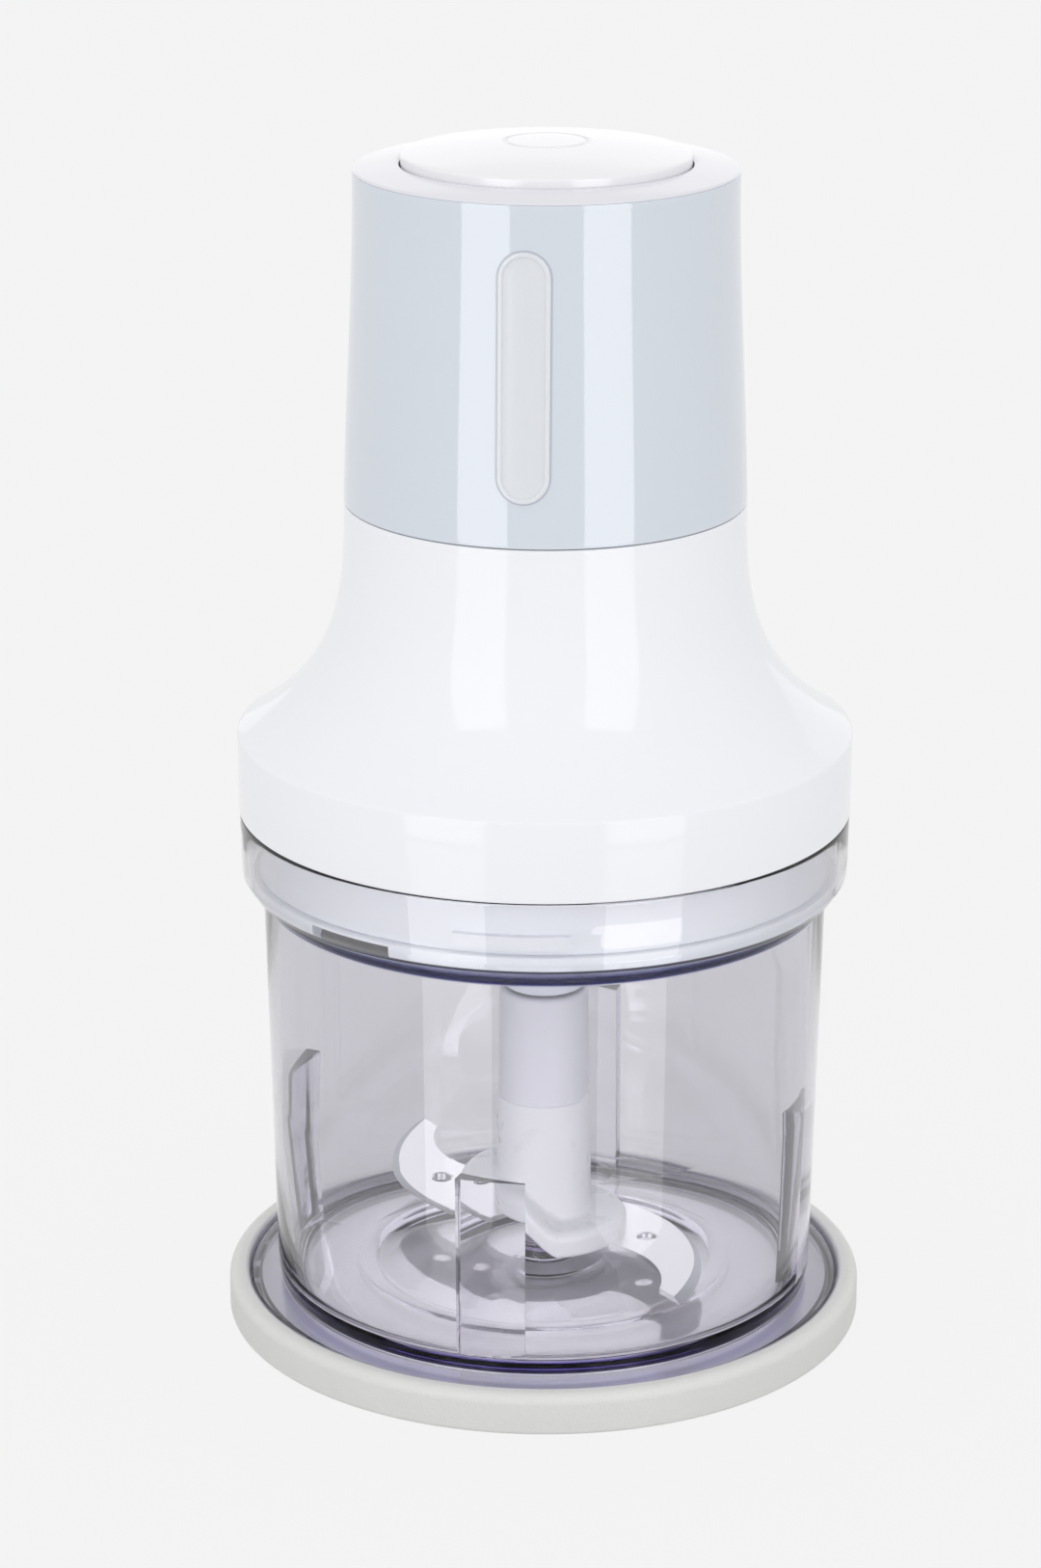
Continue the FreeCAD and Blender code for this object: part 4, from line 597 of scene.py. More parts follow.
def shapedPiece(name, line, finish, shape, breaks=(), turns=240, sharp=34.0):
    # a turned section whose points may move with the angle. breaks are the angles where a step stands
    angles = {round(360 * i / turns, 4) for i in range(turns)}
    for edge in breaks:
        angles = {angle for angle in angles if abs((angle - edge + 180) % 360 - 180) > 0.4}
        angles |= {round((edge + nudge) % 360, 4) for nudge in (-0.3, -0.03, 0.03, 0.3)}
    angles = sorted(angles)
    work = bmesh.new()
    rows = []
    for r, z in line:
        row = []
        for degrees in angles if r > 0 else angles[:1]:         # one point where the line meets the axis
            newR, newZ = shape(r, z, degrees) if r > 0 else (0, z)
            turn = math.radians(degrees)
            row.append(work.verts.new((newR * math.cos(turn) * mm, newR * math.sin(turn) * mm, newZ * mm)))
        rows.append(row)
    if line[0][0] > 0:
        rows.append(rows[0])
    for lower, upper in zip(rows, rows[1:]):
        for j in range(len(angles)):
            k = (j + 1) % len(angles)
            ring = [lower[j % len(lower)], lower[k % len(lower)], upper[k % len(upper)], upper[j % len(upper)]]
            corners = list(dict.fromkeys(ring))
            if len(corners) > 2:
                work.faces.new(corners)
    return finishPiece(newPiece(name, work, finish), sharp)


def bridge(work, lower, upper):         # a closed band of faces between two loops of points
    return [work.faces.new((lower[j - 1], lower[j], upper[j], upper[j - 1])) for j in [*range(1, len(lower)), 0]]


def arcPoints(centre, radius, start, finish, count):
    turns = [math.radians(start + (finish - start) * i / count) for i in range(count + 1)]
    return [(centre[0] + radius * math.cos(turn), centre[1] + radius * math.sin(turn)) for turn in turns]


def within(degrees, centre, spread, count):
    step = 360 / count
    return abs((degrees - centre + step / 2) % step - step / 2) <= spread / 2


def windowEdges(centre, spread, count):
    return [(centre + side * spread / 2 + 360 / count * i) % 360 for i in range(count) for side in (-1, 1)]


baseRingValues = {"wall": 3.9, "floor": 3.2, "recess": 1.0, "land": 11.0, "outerRound": 2.1, "padCount": 40,
                  "padReach": 46.0, "padLength": 6.5, "padWidth": 3.2, "padHeight": 0.8, "padPoints": 28,
                  "padSquare": 0.55}
padRows = [(1.0, -0.02), (1.0, 0.35), (0.95, 0.62), (0.84, 0.82), (0.68, 0.94), (0.4, 1.0)]     # scale, share of drop


def makeBaseRing(values):
    low, high = edgesOf("base_ring")
    radius, top = high.x, high.z
    inner = radius - values["wall"]
    line = sectionLine([
        (0, values["recess"]), (radius - values["land"] - 1, values["recess"]), (radius - values["land"], low.z),
        (radius, low.z, 0.9), (radius, top, values["outerRound"]), (inner, top, 0.9),
        (inner, values["floor"], 0.4), (0, values["floor"])], roundSteps=8)
    return settle(turnedPiece("baseRing", line, "ringRubber", 256), "base", "grey_rubber", "base_ring")


def makeRingPads(values):               # soft feet in the recess under the ring
    outline = []
    for c, d in arcPoints((0, 0), 1, 0, 360, values["padPoints"])[:-1]:
        outline.append((math.copysign(abs(c) ** values["padSquare"], c) * values["padLength"] / 2,
                        math.copysign(abs(d) ** values["padSquare"], d) * values["padWidth"] / 2))
    work = bmesh.new()
    loops = [[work.verts.new((x * scale * mm, y * scale * mm, -drop * values["padHeight"] * mm)) for x, y in outline]
             for scale, drop in padRows]
    for lower, upper in zip(loops, loops[1:]):
        bridge(work, lower, upper)
    work.faces.new(loops[0])
    work.faces.new(loops[-1])
    pads = newPiece("ringPads", work)
    runTree(pads, ringOfPieces, {"Count": values["padCount"], "Radius": values["padReach"] * mm, "First Angle": 0.0,
                                 "Height": values["recess"] * mm, "Finish": finishes["greyRubber"]})
    return settle(finishPiece(pads, 50.0), "base", "grey_rubber")


baseRing = makeBaseRing(baseRingValues)
ringPads = makeRingPads(baseRingValues)
print("non-slip ring ready")


bowlValues = {                          # fixed corners are radius, height and perhaps a rounding
    "under": [(0, 6.9), (50.0, 6.9, 0.6), (50.0, 5.2, 0.3), (56.2, 5.2, 0.3)], "foot": (56.2, 58.3), "flangeTop": 7.3,
    "wall": [(51.8, 7.3, 0.4), (52.7, 10.1, 1.2), (54.4, 87.1, 1.2)], "collarWall": 1.7,
    "collarSlope": (89.7, 92.0), "spindle": [(5.1, 32.4), (4.6, 34.4), (4.6, 46.0, 1.6), (0, 46.0)],
    "boss": 13.5, "bossLift": 0.45, "ridge": 35.0, "ridgeWidth": 2.2, "ridgeLift": 0.42, "ridgeSteps": 12,
    "floorTop": 9.5, "innerFoot": 50.5, "innerTop": 52.2, "innerReach": (47.0, 52.3), "shelf": 90.7,
    "baffleTop": 46.5, "baffleRadius": 47.8, "baffleFade": 50.45, "baffleSpread": 14.7, "baffleTurn": -102.3,
    "baffleCount": 4, "ledgeRadius": 56.75, "ledgeLow": 98.6, "ledgeHigh": 100.8, "ledgeSpread": 34.0,
    "ledgeTurn": -59.0, "ledgeCount": 3, "ledgeFade": 2.0,
}


def makeBowl(values):
    low, high = edgesOf("bowl")
    collar, top, foot = high.x, high.z, low.z
    bore, lift = collar - values["collarWall"], values["floorTop"] + values["bossLift"]
    innerFoot, innerTop, floorTop, shelf, baffleTop, ledgeLow, ledgeHigh = (
        values[key] for key in ("innerFoot", "innerTop", "floorTop", "shelf", "baffleTop", "ledgeLow", "ledgeHigh"))

    def innerPoint(z):
        return innerFoot + (innerTop - innerFoot) * (z - floorTop) / (shelf - floorTop), z

    swell = []                          # a low round ridge in the floor
    for i in range(values["ridgeSteps"] + 1):
        turn = math.pi * i / values["ridgeSteps"]
        swell.append((values["ridge"] + values["ridgeWidth"] * math.cos(turn),
                      floorTop + values["ridgeLift"] * math.sin(turn) ** 2))
    footInner, footOuter = values["foot"]
    slopeLow, slopeHigh = values["collarSlope"]
    innerLow, innerHigh = values["innerReach"]
    line = sectionLine([
        *values["under"], (footInner, foot, 0.3), (footOuter, foot, 0.4), (footOuter, values["flangeTop"], 0.8),
        *values["wall"], (bore, slopeLow, 0.8), (collar - 0.2, slopeHigh, 2.0), (collar, top, 0.6),
        (bore, top, 0.5), (bore, ledgeHigh + 1.4), (bore, ledgeHigh), (bore, ledgeLow), (bore, ledgeLow - 0.9),
        (bore, shelf, 0.3), (innerTop, shelf, 0.6), innerPoint(baffleTop + 0.04), innerPoint(baffleTop),
        (innerPoint(baffleTop)[0], baffleTop - 0.25), (innerFoot, floorTop, 3.0), *swell,
        (values["boss"] + 1, floorTop), (values["boss"] - 1.5, lift, 1.5), (values["spindle"][0][0], lift, 1.4),
        *values["spindle"]])
    baffleStep, ledgeStep = 360 / values["baffleCount"], 360 / values["ledgeCount"]

    def shape(r, z, degrees):
        if innerLow < r < innerHigh and floorTop <= z <= baffleTop:     # the steps down the inside of the wall
            past = (degrees - values["baffleTurn"]) % baffleStep
            if past < values["baffleSpread"]:
                share = past / values["baffleSpread"]
                face = values["baffleRadius"] + (values["baffleFade"] - values["baffleRadius"]) * share
                return min(r, face + (0.3 if z > baffleTop - 0.02 or past < 0.1 else 0)), z
        if ledgeLow - 0.01 <= z <= ledgeHigh + 0.01 and abs(r - bore) < 0.01:   # the lid's locking ledges
            away = abs((degrees - values["ledgeTurn"] + ledgeStep / 2) % ledgeStep - ledgeStep / 2)
            share = min(1.0, max(0.0, (values["ledgeSpread"] / 2 - away) / values["ledgeFade"]))
            return bore - (bore - values["ledgeRadius"]) * share * share * (3 - 2 * share), z
        return r, z

    steep = [values["baffleTurn"] + baffleStep * i for i in range(values["baffleCount"])]
    breaks = [(edge + spread) % 360 for edge in steep for spread in (0, values["baffleSpread"])]
    piece = shapedPiece("bowlShell", line, "clearPlastic", shape, breaks, 288, 30.0)
    return settle(piece, "bowl", "clear_plastic", "bowl")


bowlShell = makeBowl(bowlValues)
print("bowl ready")


hubValues = {"radius": 16.4, "plate": 5.6, "step": 7.6, "ramp": 4.4, "bore": 6.0, "column": 9.3, "fillet": 1.6,
             "neck": 8.75, "neckLength": 21.5, "socket": 5.6, "socketFloor": 49.5, "webBottom": 47.2,
             "straightShare": 0.55}


def makeColumn(values):
    low, high = edgesOf("blade_column")
    bottom, top = low.z, high.z
    hubTop, stepZ = bottom + values["plate"], top - values["neckLength"]
    radius, bore, column, neck, socket, socketFloor, ramp, fillet = (
        values[key] for key in ("radius", "bore", "column", "neck", "socket", "socketFloor", "ramp", "fillet"))
    line = sectionLine([
        (0, values["webBottom"]), (bore, values["webBottom"]), (bore, bottom, 0.3), (radius, bottom, 1.1),
        (radius, hubTop, 2.2), (column, hubTop, fillet), (column, stepZ, 0.3), (neck, stepZ + 0.05, 0.15),
        (neck, top, 0.9), (socket, top, 0.5), (socket, socketFloor), (0, socketFloor)], roundSteps=8)
    fade, straight = hubTop + fillet + 0.2, values["straightShare"]

    def shape(r, z, degrees):           # the hub's top steps up on one side, and the socket is a hexagon
        x = r * math.cos(math.radians(degrees))
        level = min(1.0, max(0.0, (ramp - x) / (2 * ramp)))
        level = level * straight + (3 - 2 * level) * level * level * (1 - straight)
        if r < bore + 0.01 and z > bottom + 1:
            hold = 0.0
        else:
            hold = 1.0 if z <= fade else max(0.0, (stepZ - 1 - z) / (stepZ - 1 - fade))
        corner = math.cos(math.radians((degrees + 30) % 60 - 30)) if r < socket + 0.01 and z >= socketFloor else 1.0
        return r / corner, z + values["step"] * level * hold

    piece = shapedPiece("knifeColumn", line, "whiteMoulding", shape, turns=288)
    piece.data.materials.append(finishes["neckWhite"])
    for face in piece.data.polygons:    # the neck above the step is a shade darker
        face.material_index = int(face.center.z > (stepZ + 0.1) * mm)
    return settle(piece, "knife", "white_moulding", "blade_column")


bladeValues = {                         # arcs are centre, radius, two angles and steps
    "edge": ((-2.4, -20.3), 39.3, -9.97, 70.5, 72), "hollow": ((11.5, -25.0), 19.6, 97.6, 4.8, 56),
    "root": [(8.0, 12.0), (8.0, -5.0)], "bevel": 1.7, "bevelFade": 1.15, "tipLean": 0.9, "chamfer": 0.09,
    "edgeLip": 0.15, "leastEdge": 0.12, "hole": (21.4, 0.0), "holeRadius": 1.9, "holeRound": 0.2,
    "holeSteps": 40, "turn": -12.3,
}


def makeBlade(name, node, turn, values):
    low, high = edgesOf(node)
    thick, chamfer, full = high.z - low.z, values["chamfer"], values["bevel"]
    edge = arcPoints(*values["edge"])
    outline = [Vector(point) for point in edge + values["root"] + arcPoints(*values["hollow"])]
    count, last = len(outline), len(edge) - 1
    bevels = [full * min(1.0, values["bevelFade"] * max(0.0, 1 - i / last)) for i in range(count)]
    inward = []
    for i, here in enumerate(outline):
        before = (here - outline[i - 1]).normalized()
        after = (outline[(i + 1) % count] - here).normalized()
        sideways = Vector((-(before.y + after.y), before.x + after.x)).normalized()
        inward.append(sideways / max(0.5, sideways.dot(Vector((-before.y, before.x)))))
    inward[0] = (outline[-1] - outline[0]).normalized() / values["tipLean"]     # ends along the tip's straight side
    work = bmesh.new()
    loops = []
    for inset, height in ((chamfer, 0), (0, chamfer), (0, None), (None, thick)):
        loop = []
        for point, push, bevel in zip(outline, inward, bevels):
            slope = thick - chamfer - (thick - chamfer - values["edgeLip"]) * bevel / full
            away = inset if inset is not None else chamfer + bevel
            loop.append(work.verts.new((*(point + push * away), height if height is not None else slope)))
        loops.append(loop)
    holes = []
    soft = values["holeRound"]
    for grow, height in ((chamfer * 2, 0), (0, chamfer), (0, thick - soft), (soft * 1.1, thick)):
        ring = arcPoints(values["hole"], values["holeRadius"] + grow, 0, 360, values["holeSteps"])[:-1]
        holes.append([work.verts.new((x, y, height)) for x, y in ring])
    for lower, upper in (*zip(loops, loops[1:]), *zip(holes, holes[1:])):
        for j, face in enumerate(bridge(work, lower, upper)):
            if upper is loops[3] and min(bevels[j], bevels[(j + 1) % count]) > values["leastEdge"]:
                face.material_index = 1     # the ground edge
    for rim, hole, up in ((loops[3], holes[3], 1), (loops[0], holes[0], -1)):
        sides = [work.edges.get((ring[j - 1], ring[j])) for ring in (rim, hole) for j in [*range(1, len(ring)), 0]]
        bmesh.ops.triangle_fill(work, edges=sides, use_beauty=True, normal=(0, 0, up))
    place = Matrix.Translation((0, 0, low.z)) @ Matrix.Rotation(math.radians(turn), 4, "Z")
    bmesh.ops.transform(work, matrix=Matrix.Scale(mm, 4) @ place, verts=work.verts)
    piece = newPiece(name, work, "groundSteel", "groundEdge")
    return settle(finishPiece(piece, 12.0), "knife", "ground_steel", node)


knifeColumn = makeColumn(hubValues)
lowerBlade = makeBlade("lowerBlade", "lower_blade", bladeValues["turn"], bladeValues)
upperBlade = makeBlade("upperBlade", "upper_blade", bladeValues["turn"] + 180, bladeValues)
print("knife ready")


lidValues = {"plug": 51.4, "rimDrop": 2.6, "plugDepth": 4.2, "plate": 2.0, "dish": 44.0, "noseBore": 6.9,
             "noseTip": 8.2, "nose": 8.7, "noseStep": 75.0, "lipSeal": 9.6, "groove": 1.6, "grooveHeight": 2.4,
             "notchDepth": 2.0, "notches": (-3.0, 18.5, 3)}     # first angle, spread and count


def makeSplashLid(values):
    low, high = edgesOf("splash_lid")
    rim, top = high.x, high.z
    shelf = top - values["rimDrop"]
    bottom = shelf - values["plugDepth"]
    plateTop, seal, notchTop, notch = bottom + values["plate"], bottom + 0.7, top - 0.6, rim - values["notchDepth"]
    plug, bore, tip, nose, noseStep, dish, lip = (
        values[key] for key in ("plug", "noseBore", "noseTip", "nose", "noseStep", "dish", "lipSeal"))
    groove, sealTop = plug - values["groove"], seal + values["grooveHeight"]
    line = sectionLine([
        (bore, low.z, 0.3), (tip, low.z, 0.6), (tip, noseStep, 0.3), (nose, noseStep, 0.3), (nose, bottom, 1.5),
        (plug, bottom, 0.4), (plug, seal), (groove, seal), (groove, sealTop), (plug, sealTop), (plug, shelf, 0.3),
        (notch, shelf), (rim, shelf, 0.3), (rim, notchTop - 0.01), (rim, notchTop), (rim, top, 0.4),
        (dish + 1.5, top, 1.0), (dish, plateTop, 1.0), (lip + 3.4, plateTop), (lip + 1.8, top, 0.4), (lip + 0.1, top),
        (lip + 0.1, top - 3.0), (bore, top - 3.0)])

    def shape(r, z, degrees):
        cut = r > notch and shelf - 0.01 <= z < notchTop - 0.005 and within(degrees, *values["notches"])
        return notch if cut else r, z

    piece = shapedPiece("splashLid", line, "palePlastic", shape, windowEdges(*values["notches"]), 216)
    piece.data.materials.append(finishes["notchShade"])
    for face in piece.data.polygons:    # painted shade: the notch's floor is painted dark, standing in for the shade in the gap under the motor unit
        away = Vector(face.center[:2]).length / mm
        face.material_index = int(abs(away - notch) < 0.05 and face.center.z > shelf * mm)
    return settle(piece, "splash_lid", "pale_plastic", "splash_lid")


def makeLidSeal():                      # two soft lips
    low, high = edgesOf("lid_seal")
    radius, groove = high.x, high.x - 2.0
    line = sectionLine([
        (groove, low.z), (radius - 0.35, low.z, 0.25), (radius - 0.05, low.z + 0.55, 0.2),
        (radius - 0.5, low.z + 1.1, 0.15), (radius, low.z + 1.65, 0.25), (radius - 0.35, high.z, 0.25),
        (groove, high.z)])
    return settle(turnedPiece("lidSeal", line, "silicone", 192), "splash_lid", "silicone", "lid_seal")


wellValues = {"power": 24.0, "height": 1.0, "angle": 5.7, "blend": 0.15, "size": 0.03}     # metres and degrees


def makeWellLight(values, lit, shading):        # a narrow spot that reaches only the ring's well
    data = bpy.data.lights.new("wellSpot", "SPOT")
    data.energy, data.shadow_soft_size = values["power"], values["size"]
    data.spot_size, data.spot_blend = math.radians(values["angle"]), values["blend"]
    lamp = bpy.data.objects.new("wellSpot", data)
    scene.collection.objects.link(lamp)
    lamp.location = (0, 0, values["height"])
    lamp.visible_glossy = False
    for name, pieces in (("receiver", lit), ("blocker", shading)):
        group = bpy.data.collections.new("wellSpot." + name)
        for piece in pieces:
            group.objects.link(piece)
        setattr(lamp.light_linking, name + "_collection", group)


splashLid = makeSplashLid(lidValues)
lidSeal = makeLidSeal()
makeWellLight(wellValues, [baseRing], [knifeColumn, lowerBlade, upperBlade])
print("splash lid ready")


skirtValues = {"wall": 2.0, "floor": 100.0, "plate": 2.4, "radius": 55.4, "stepZ": 104.5, "lugReach": 1.3,
               "lugLow": 1.4, "lugHeight": 2.6, "opening": 8.0, "lugs": (30.0, 22.0, 3)}    # as the lid's notches

housingValues = {"radius": 58.9, "wall": 2.2, "bottomRound": 0.5, "shoulder": 119.6, "lean": 32.2,
                 "shoulderPull": 22.8, "neck": 38.1, "neckZ": 164.7, "neckPull": 18.8, "seam": 0.12,
                 "spigotStep": 2.7, "spigotWall": 2.1}

sleeveValues = {"lowPole": 37.61, "highPole": 35.87, "topRadius": 35.9, "top": 227.05, "wall": 2.2, "overlap": 7.0,
                "seam": 0.08, "spigotStep": 2.6, "steps": 60}


def makeSkirt(values):
    low, high = edgesOf("bottom_cover")
    radius, floor, opening, stepZ = (values[key] for key in ("radius", "floor", "opening", "stepZ"))
    inner, rim, plateTop = radius - values["wall"], radius + 1.0, floor + values["plate"]
    lugLow = low.z + values["lugLow"]
    lugHigh = lugLow + values["lugHeight"]
    line = sectionLine([
        (opening, floor), (inner, floor), (inner, low.z), (radius, low.z, 0.4), (radius, lugLow - 0.02),
        (radius, lugLow), (radius, lugHigh), (radius, lugHigh + 0.02), (radius, stepZ), (rim, stepZ), (rim, high.z),
        (rim - 2, high.z), (rim - 2, plateTop), (opening, plateTop)])

    def shape(r, z, degrees):
        lug = abs(r - radius) < 0.01 and lugLow - 0.01 <= z <= lugHigh + 0.01 and within(degrees, *values["lugs"])
        return radius + values["lugReach"] if lug else r, z

    piece = shapedPiece("motorSkirt", line, "palePlastic", shape, windowEdges(*values["lugs"]), 216)
    return settle(piece, "motor_unit", "pale_plastic", "bottom_cover")


def makeHousing(values):
    low, high = edgesOf("motor_housing")
    radius, wall, shoulder, neck, neckPull = (
        values[key] for key in ("radius", "wall", "shoulder", "neck", "neckPull"))
    neckZ, lean, inner = values["neckZ"] - values["seam"], math.radians(values["lean"]), radius - wall
    out, up = values["shoulderPull"] * math.cos(lean), values["shoulderPull"] * math.sin(lean)
    innerShoulder = shoulder - wall * (math.cos(lean) - (1 - math.sin(lean)) * math.tan(lean))
    spigot = neck - values["spigotStep"]
    spigotInner = spigot - values["spigotWall"]
    line = sectionLine([
        (inner, low.z), (radius, low.z, values["bottomRound"]), (radius, shoulder - 0.35),
        (radius - 0.06, shoulder - 0.05), (radius - 0.3, shoulder + 0.18), (neck, neckZ - 0.15), (neck - 0.15, neckZ),
        (spigot, neckZ), (spigot, high.z), (spigotInner, high.z), (spigotInner, neckZ - 2), (neck - wall, neckZ - 3),
        (inner, innerShoulder)],
        curves={4: [(radius - out, shoulder + up), (neck, neckZ - neckPull)],
                11: [(neck - wall, neckZ - neckPull), (inner - out, innerShoulder + up)]},
        roundSteps=6, curveSteps=64)
    piece = turnedPiece("motorHousing", line, "whiteGloss", 288, 40.0)
    return settle(piece, "motor_unit", "white_gloss", "motor_housing")


def sleeveRadius(z):                    # the sleeve's outer radius at a height
    low = housingValues["neckZ"]
    poles = (housingValues["neck"], sleeveValues["lowPole"], sleeveValues["highPole"], sleeveValues["topRadius"])
    return cubic(poles, (z - low) / (sleeveValues["top"] - low))


def makeSleeve(values):
    low, high = edgesOf("sleeve")
    bottom, top, rim, steps = low.z + values["seam"], high.z, values["topRadius"], values["steps"]
    inner, spigot = rim - values["wall"], housingValues["neck"] - values["spigotStep"]
    heights = [bottom + (top - 0.15 - bottom) * i / steps for i in range(steps + 1)]
    start, *outside = [(sleeveRadius(z), z) for z in heights]
    line = [(spigot, bottom), (start[0] - 0.25, bottom), (start[0] - 0.06, bottom + 0.07), *outside,
            (rim - 0.05, top - 0.03), (rim - 0.2, top), (inner, top), (inner, low.z + values["overlap"] + 1),
            (spigot, low.z + values["overlap"])]
    return settle(turnedPiece("greySleeve", line, "greyGloss", 256), "motor_unit", "grey_gloss", "sleeve")


motorSkirt = makeSkirt(skirtValues)
motorHousing = makeHousing(housingValues)
greySleeve = makeSleeve(sleeveValues)
print("casing ready")


glandValues = {"bore": 3.4, "barrel": 4.6, "flange": 6.2, "height": 112.2, "proud": 61.3, "inside": 50.2,
               "seat": 58.4, "rib": 0.45, "lip": 1.7}


def makeCordGland(values):              # a ribbed sleeve for the lead, open right through
    bore, flange, out, inside, rib, barrel, seat, lip = (
        values[key] for key in ("bore", "flange", "proud", "inside", "rib", "barrel", "seat", "lip"))
    line = sectionLine([
        (lip, inside, 0.3), (barrel, inside, 0.4), (barrel, seat), (flange, seat), (flange, out - 1.9, 0.2),
        (flange - rib, out - 1.7, 0.15), (flange - rib, out - 1.2, 0.15), (flange, out - 1.0, 0.2),
        (flange, out - 0.45, 0.3), (flange - 0.6, out - 0.15, 0.4), (bore + 1.3, out, 0.5),
        (bore + 0.75, out - 0.5, 0.3), (bore + 0.5, out - 0.1, 0.25), (bore, out - 0.4, 0.3), (bore, out - 3.6, 0.2),
        (bore + rib, out - 3.9, 0.2), (bore + rib, out - 4.6, 0.2), (bore, out - 4.9, 0.2), (bore, inside + 2.6, 0.4),
        (lip, inside + 1.0, 0.3)], roundSteps=4)
    piece = turnedPiece("cordGland", line, "blackRubber", 96)
    place = Matrix.Translation((0, 0, values["height"] * mm)) @ Matrix.Rotation(-math.pi / 2, 4, "X")
    piece.data.transform(place)
    return settle(piece, "motor_unit", "black_rubber", "cord_gland")


screwValues = {"radius": 3.4, "shank": 1.7, "headLow": 97.8, "headHigh": 99.98, "tip": 111.3, "circle": 48.6,
               "turn": 30.0, "count": 3, "recess": 1.2, "recessReach": 2.1, "recessWidth": 0.45}


def makeHousingScrews(values):          # pan heads with a cross recess, one shape repeated on its circle
    low, high, radius, reach, shank, tip = (
        values[key] for key in ("headLow", "headHigh", "radius", "recessReach", "shank", "tip"))
    line = sectionLine([
        (0, low), (0.5, low), (1.1, low), (1.6, low), (reach, low + 0.02), (reach + 0.15, low + 0.03),
        (radius, low + 0.35, 0.9), (radius, high, 0.25), (shank, high, 0.2), (shank, tip - 1.2), (0.5, tip),
        (0, tip)], roundSteps=5)

    def shape(r, z, degrees):
        across = abs(math.sin(math.radians(2 * degrees))) * r / 2
        if z < low + 0.025 and r <= reach and across < values["recessWidth"]:
            return r, z + values["recess"] * (1 - 0.5 * r / reach)
        return r, z

    screws = shapedPiece("housingScrews", line, "screwSteel", shape, turns=72)
    runTree(screws, ringOfPieces, {"Count": values["count"], "Radius": values["circle"] * mm, "Height": 0.0,
                                   "First Angle": math.radians(values["turn"]), "Finish": finishes["screwSteel"]})
    return settle(finishPiece(screws), "motor_unit", "screw_steel", "housing_screws")


cordGland = makeCordGland(glandValues)
housingScrews = makeHousingScrews(screwValues)
print("inlet and screws ready")


badgeValues = {"radius": 4.8, "seam": 0.32, "rim": 0.95, "raise": 0.6, "plate": 0.2, "buried": -0.35,
               "arcSteps": 20, "sideSteps": 40}


def makeBadge(values):                  # a raised rim round a flat plate, laid on the sleeve
    low, high = edgesOf("badge")
    radius, seam, lift, plate, rim, arc, side = (
        values[key] for key in ("radius", "seam", "raise", "plate", "rim", "arcSteps", "sideSteps"))
    bottom, top = low.z + radius, high.z - radius
    rows = [(-seam, values["buried"]), (-seam, 0.03), (0.0, 0.02), (0.0, lift - 0.32), (0.06, lift - 0.14),
            (0.2, lift - 0.02), (0.34, lift), (rim - 0.34, lift), (rim - 0.2, lift - 0.03), (rim - 0.08, lift - 0.12),
            (rim - 0.02, plate + 0.12), (rim + 0.04, plate + 0.02), (rim + 0.2, plate), (2.2, plate), (3.5, plate),
            (radius - 0.02, plate)]
    outline = []                        # middle height and outward direction round the pill
    for turn, here, there, way in ((0, top, bottom, -1), (180, bottom, top, 1)):
        outline += [(here, direction) for direction in arcPoints((0, 0), 1, turn, turn + 180, arc)]
        outline += [(here + (there - here) * i / side, (way, 0)) for i in range(1, side)]
    work = bmesh.new()
    loops = []
    for inset, height in rows:
        loop = []
        for middle, (dx, dz) in outline:
            x, z = dx * (radius - inset), middle + dz * (radius - inset)
            away = math.sqrt((sleeveRadius(z) + height) ** 2 - x ** 2)
            loop.append(work.verts.new((x * mm, -away * mm, z * mm)))
        loops.append(loop)
    for lower, upper in zip(loops, loops[1:]):
        for face in bridge(work, lower, upper):
            face.material_index = int(lower in loops[:2])       # painted shade: a fine dark line round the plate, standing in for the shade in a groove
    for loop in (loops[-1], loops[0]):  # closes each face across the middle line
        for j in range(side):
            far = 2 * arc + 2 * side - j
            work.faces.new((loop[arc + j], loop[arc + j + 1], loop[far - 1], loop[far % len(loop)]))
        work.faces.new(loop[:arc + 1])
        work.faces.new(loop[arc + side:2 * arc + side + 1])
    piece = newPiece("badgePlate", work, "badgeGrey", "badgeSeam")
    return settle(finishPiece(piece, 50.0), "motor_unit", "grey_gloss", "badge")


badgePlate = makeBadge(badgeValues)
print("badge ready")


capValues = {"bore": 27.2, "wall": 1.8, "skirt": 8.0, "webLow": 212.0, "webHigh": 214.0, "webHole": 5.0}


def makeTopCap(values):
    top, rim, sleeveTop = edgesOf("top_cap")[1].z, sleeveValues["topRadius"], sleeveValues["top"]
    bore, wall, webLow, webHigh, webHole = (values[key] for key in ("bore", "wall", "webLow", "webHigh", "webHole"))
    skirt, skirtLow, seat = rim - sleeveValues["wall"] - 0.1, sleeveTop - values["skirt"], sleeveTop + 0.02
    line = sectionLine([
        (webHole, webLow), (bore + wall, webLow), (bore + wall, sleeveTop - 2.2), (skirt - wall, sleeveTop - 2.2),
        (skirt - wall, skirtLow), (skirt, skirtLow), (skirt, seat), (rim - 0.12, seat, 0.05),
        (rim - 0.42, sleeveTop + 0.46, 0.5), (bore + 0.5, top - 0.04, 1.2), (bore, top - 0.45, 0.4), (bore, webHigh),
        (webHole, webHigh)], roundSteps=8)
    # painted shade: the cap's white is greyed to stand in for the shade across its front slope
    return settle(turnedPiece("topCap", line, "capWhite", 256), "motor_unit", "white_gloss", "top_cap")


buttonValues = {"radius": 26.9, "edge": 26.0, "edgeZ": 230.2, "skirtLow": 221.0, "wall": 1.8, "stem": 3.2,
                "ringRadius": 7.7, "ringWidth": 0.55, "ringDepth": 0.4, "domeSteps": 220}


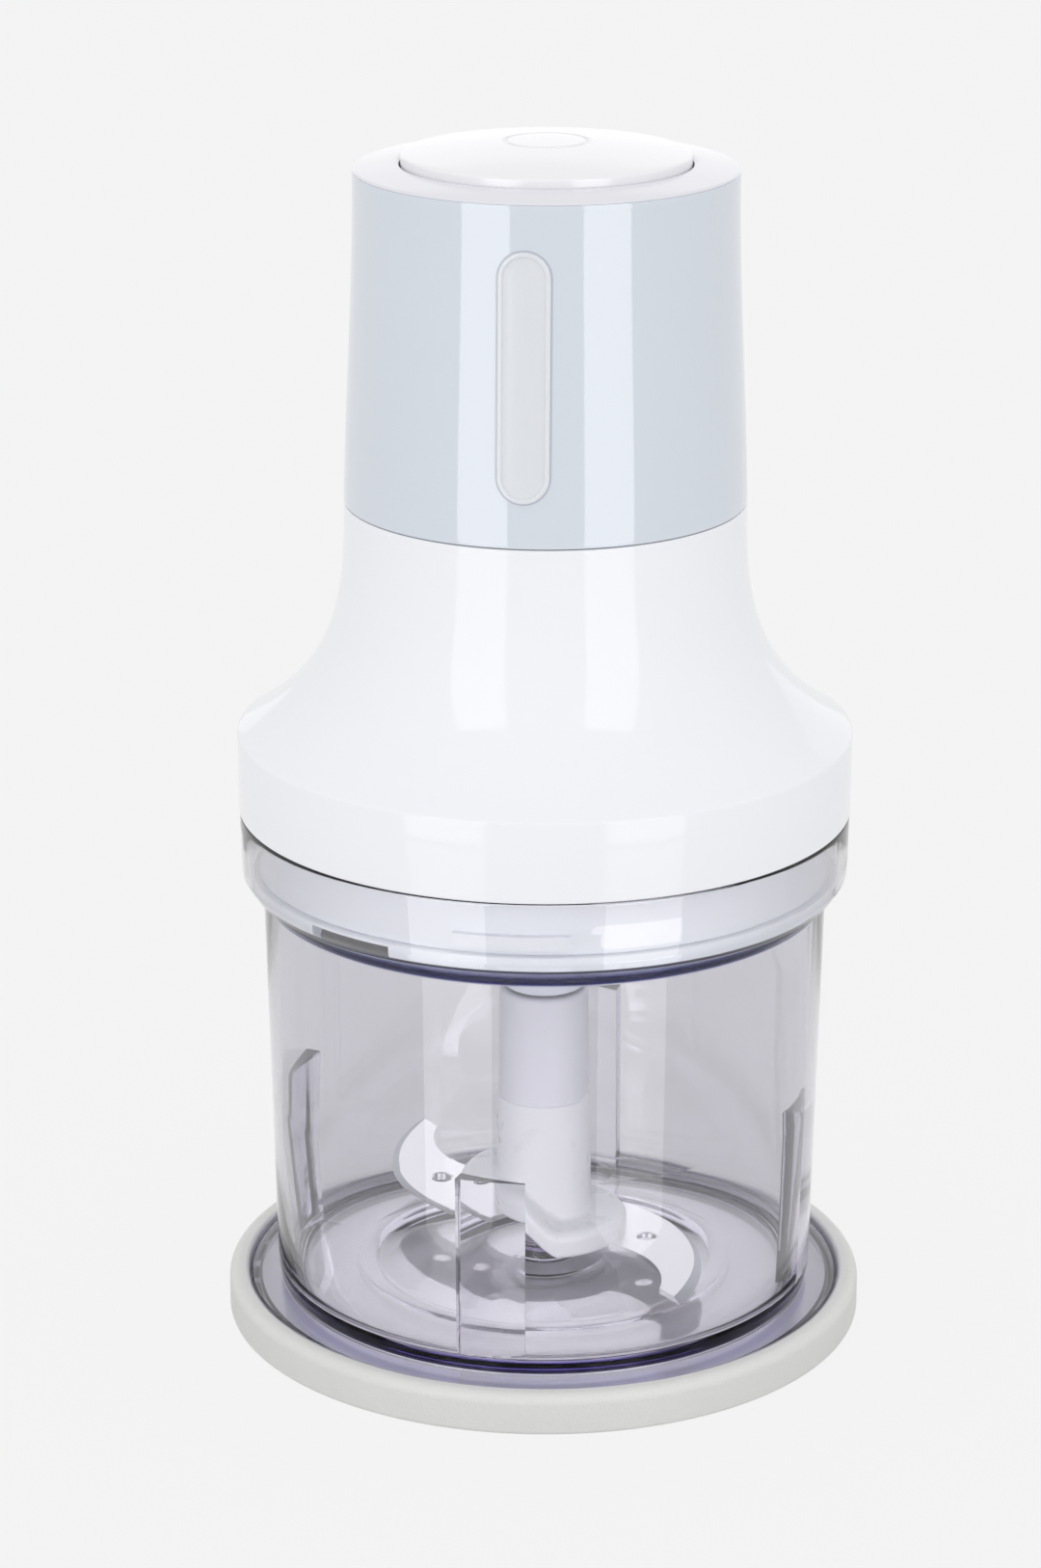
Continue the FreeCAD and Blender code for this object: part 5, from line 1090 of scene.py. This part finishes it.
def makeButton(values):                 # a shallow dome with a fine ring cut into it
    low, high = edgesOf("button")
    edge, edgeZ, radius, wall, stem, skirtLow, steps = (
        values[key] for key in ("edge", "edgeZ", "radius", "wall", "stem", "skirtLow", "domeSteps"))
    top, inner = high.z, radius - wall
    poles = ((edge - 0.35, edgeZ + 0.12), (edge * 0.66, top - 0.8), (edge / 3, top), (0, top))
    poles = [Vector(pole) for pole in poles]
    dome = []
    for i in range(steps + 1):
        point = cubic(poles, i / steps)
        away = abs(point.x - values["ringRadius"]) / values["ringWidth"]
        groove = values["ringDepth"] * max(0.0, 1 - away ** 2)
        dome.append((0 if i == steps else point.x, point.y - groove))
    line = sectionLine([
        (0, low.z), (stem, low.z, 0.4), (stem, edgeZ - wall + 0.8), (inner, edgeZ - wall), (inner, skirtLow),
        (radius, skirtLow), (radius, edgeZ - 0.15, 0.5), (edge - 0.3, edgeZ + 0.1)])[:-1] + dome
    return settle(turnedPiece("pressButton", line, "buttonWhite", 224, 40.0), "button", "button_white", "button")


springValues = {"radius": 8.5, "wire": 0.8, "pitch": 3.2, "steps": 48, "travel": 2.8}


def makeSpringTree():                   # winds a square wire up a helix
    tree, given, made = newShapeTree("woundWire", [
        ("Radius", "Float"), ("Turns", "Float"), ("Length", "Float"), ("Steps", "Int"), ("Wire", "Float"),
        ("Start", "Vector")])
    coil = addNode(tree, "GeometryNodeCurveSpiral", {
        "Start Radius": given["Radius"], "End Radius": given["Radius"], "Rotations": given["Turns"],
        "Height": given["Length"], "Resolution": given["Steps"]})
    upright = addNode(tree, "GeometryNodeSetCurveNormal", {0: coil}, mode="Z_UP")
    section = addNode(tree, "GeometryNodeCurvePrimitiveQuadrilateral", {"Width": given["Wire"],
                                                                        "Height": given["Wire"]})
    sweep = addNode(tree, "GeometryNodeCurveToMesh", {"Curve": upright, "Profile Curve": section, "Fill Caps": True})
    move = addNode(tree, "GeometryNodeTransform", {"Geometry": sweep, "Translation": given["Start"]})
    return endShapeTree(tree, given, made, move)


def makeSpring(values):                 # built at full length; the real spring shortens by as much as the button sinks
    low, high = edgesOf("button_spring")
    wire, length = values["wire"], high.z - low.z - values["wire"]
    piece = newPiece("buttonSpring", bmesh.new())
    runTree(piece, makeSpringTree(), {
        "Radius": values["radius"] * mm, "Turns": length / values["pitch"], "Length": length * mm,
        "Steps": values["steps"], "Wire": wire * mm, "Start": (0.0, 0.0, (low.z + wire / 2) * mm),
        "Finish": finishes["springSteel"]})
    settle(finishPiece(piece), "motor_unit", "spring_steel", "button_spring")
    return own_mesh(piece)


topCap = makeTopCap(capValues)
pressButton = makeButton(buttonValues)
buttonSpring = makeSpring(springValues)
print("button ready")
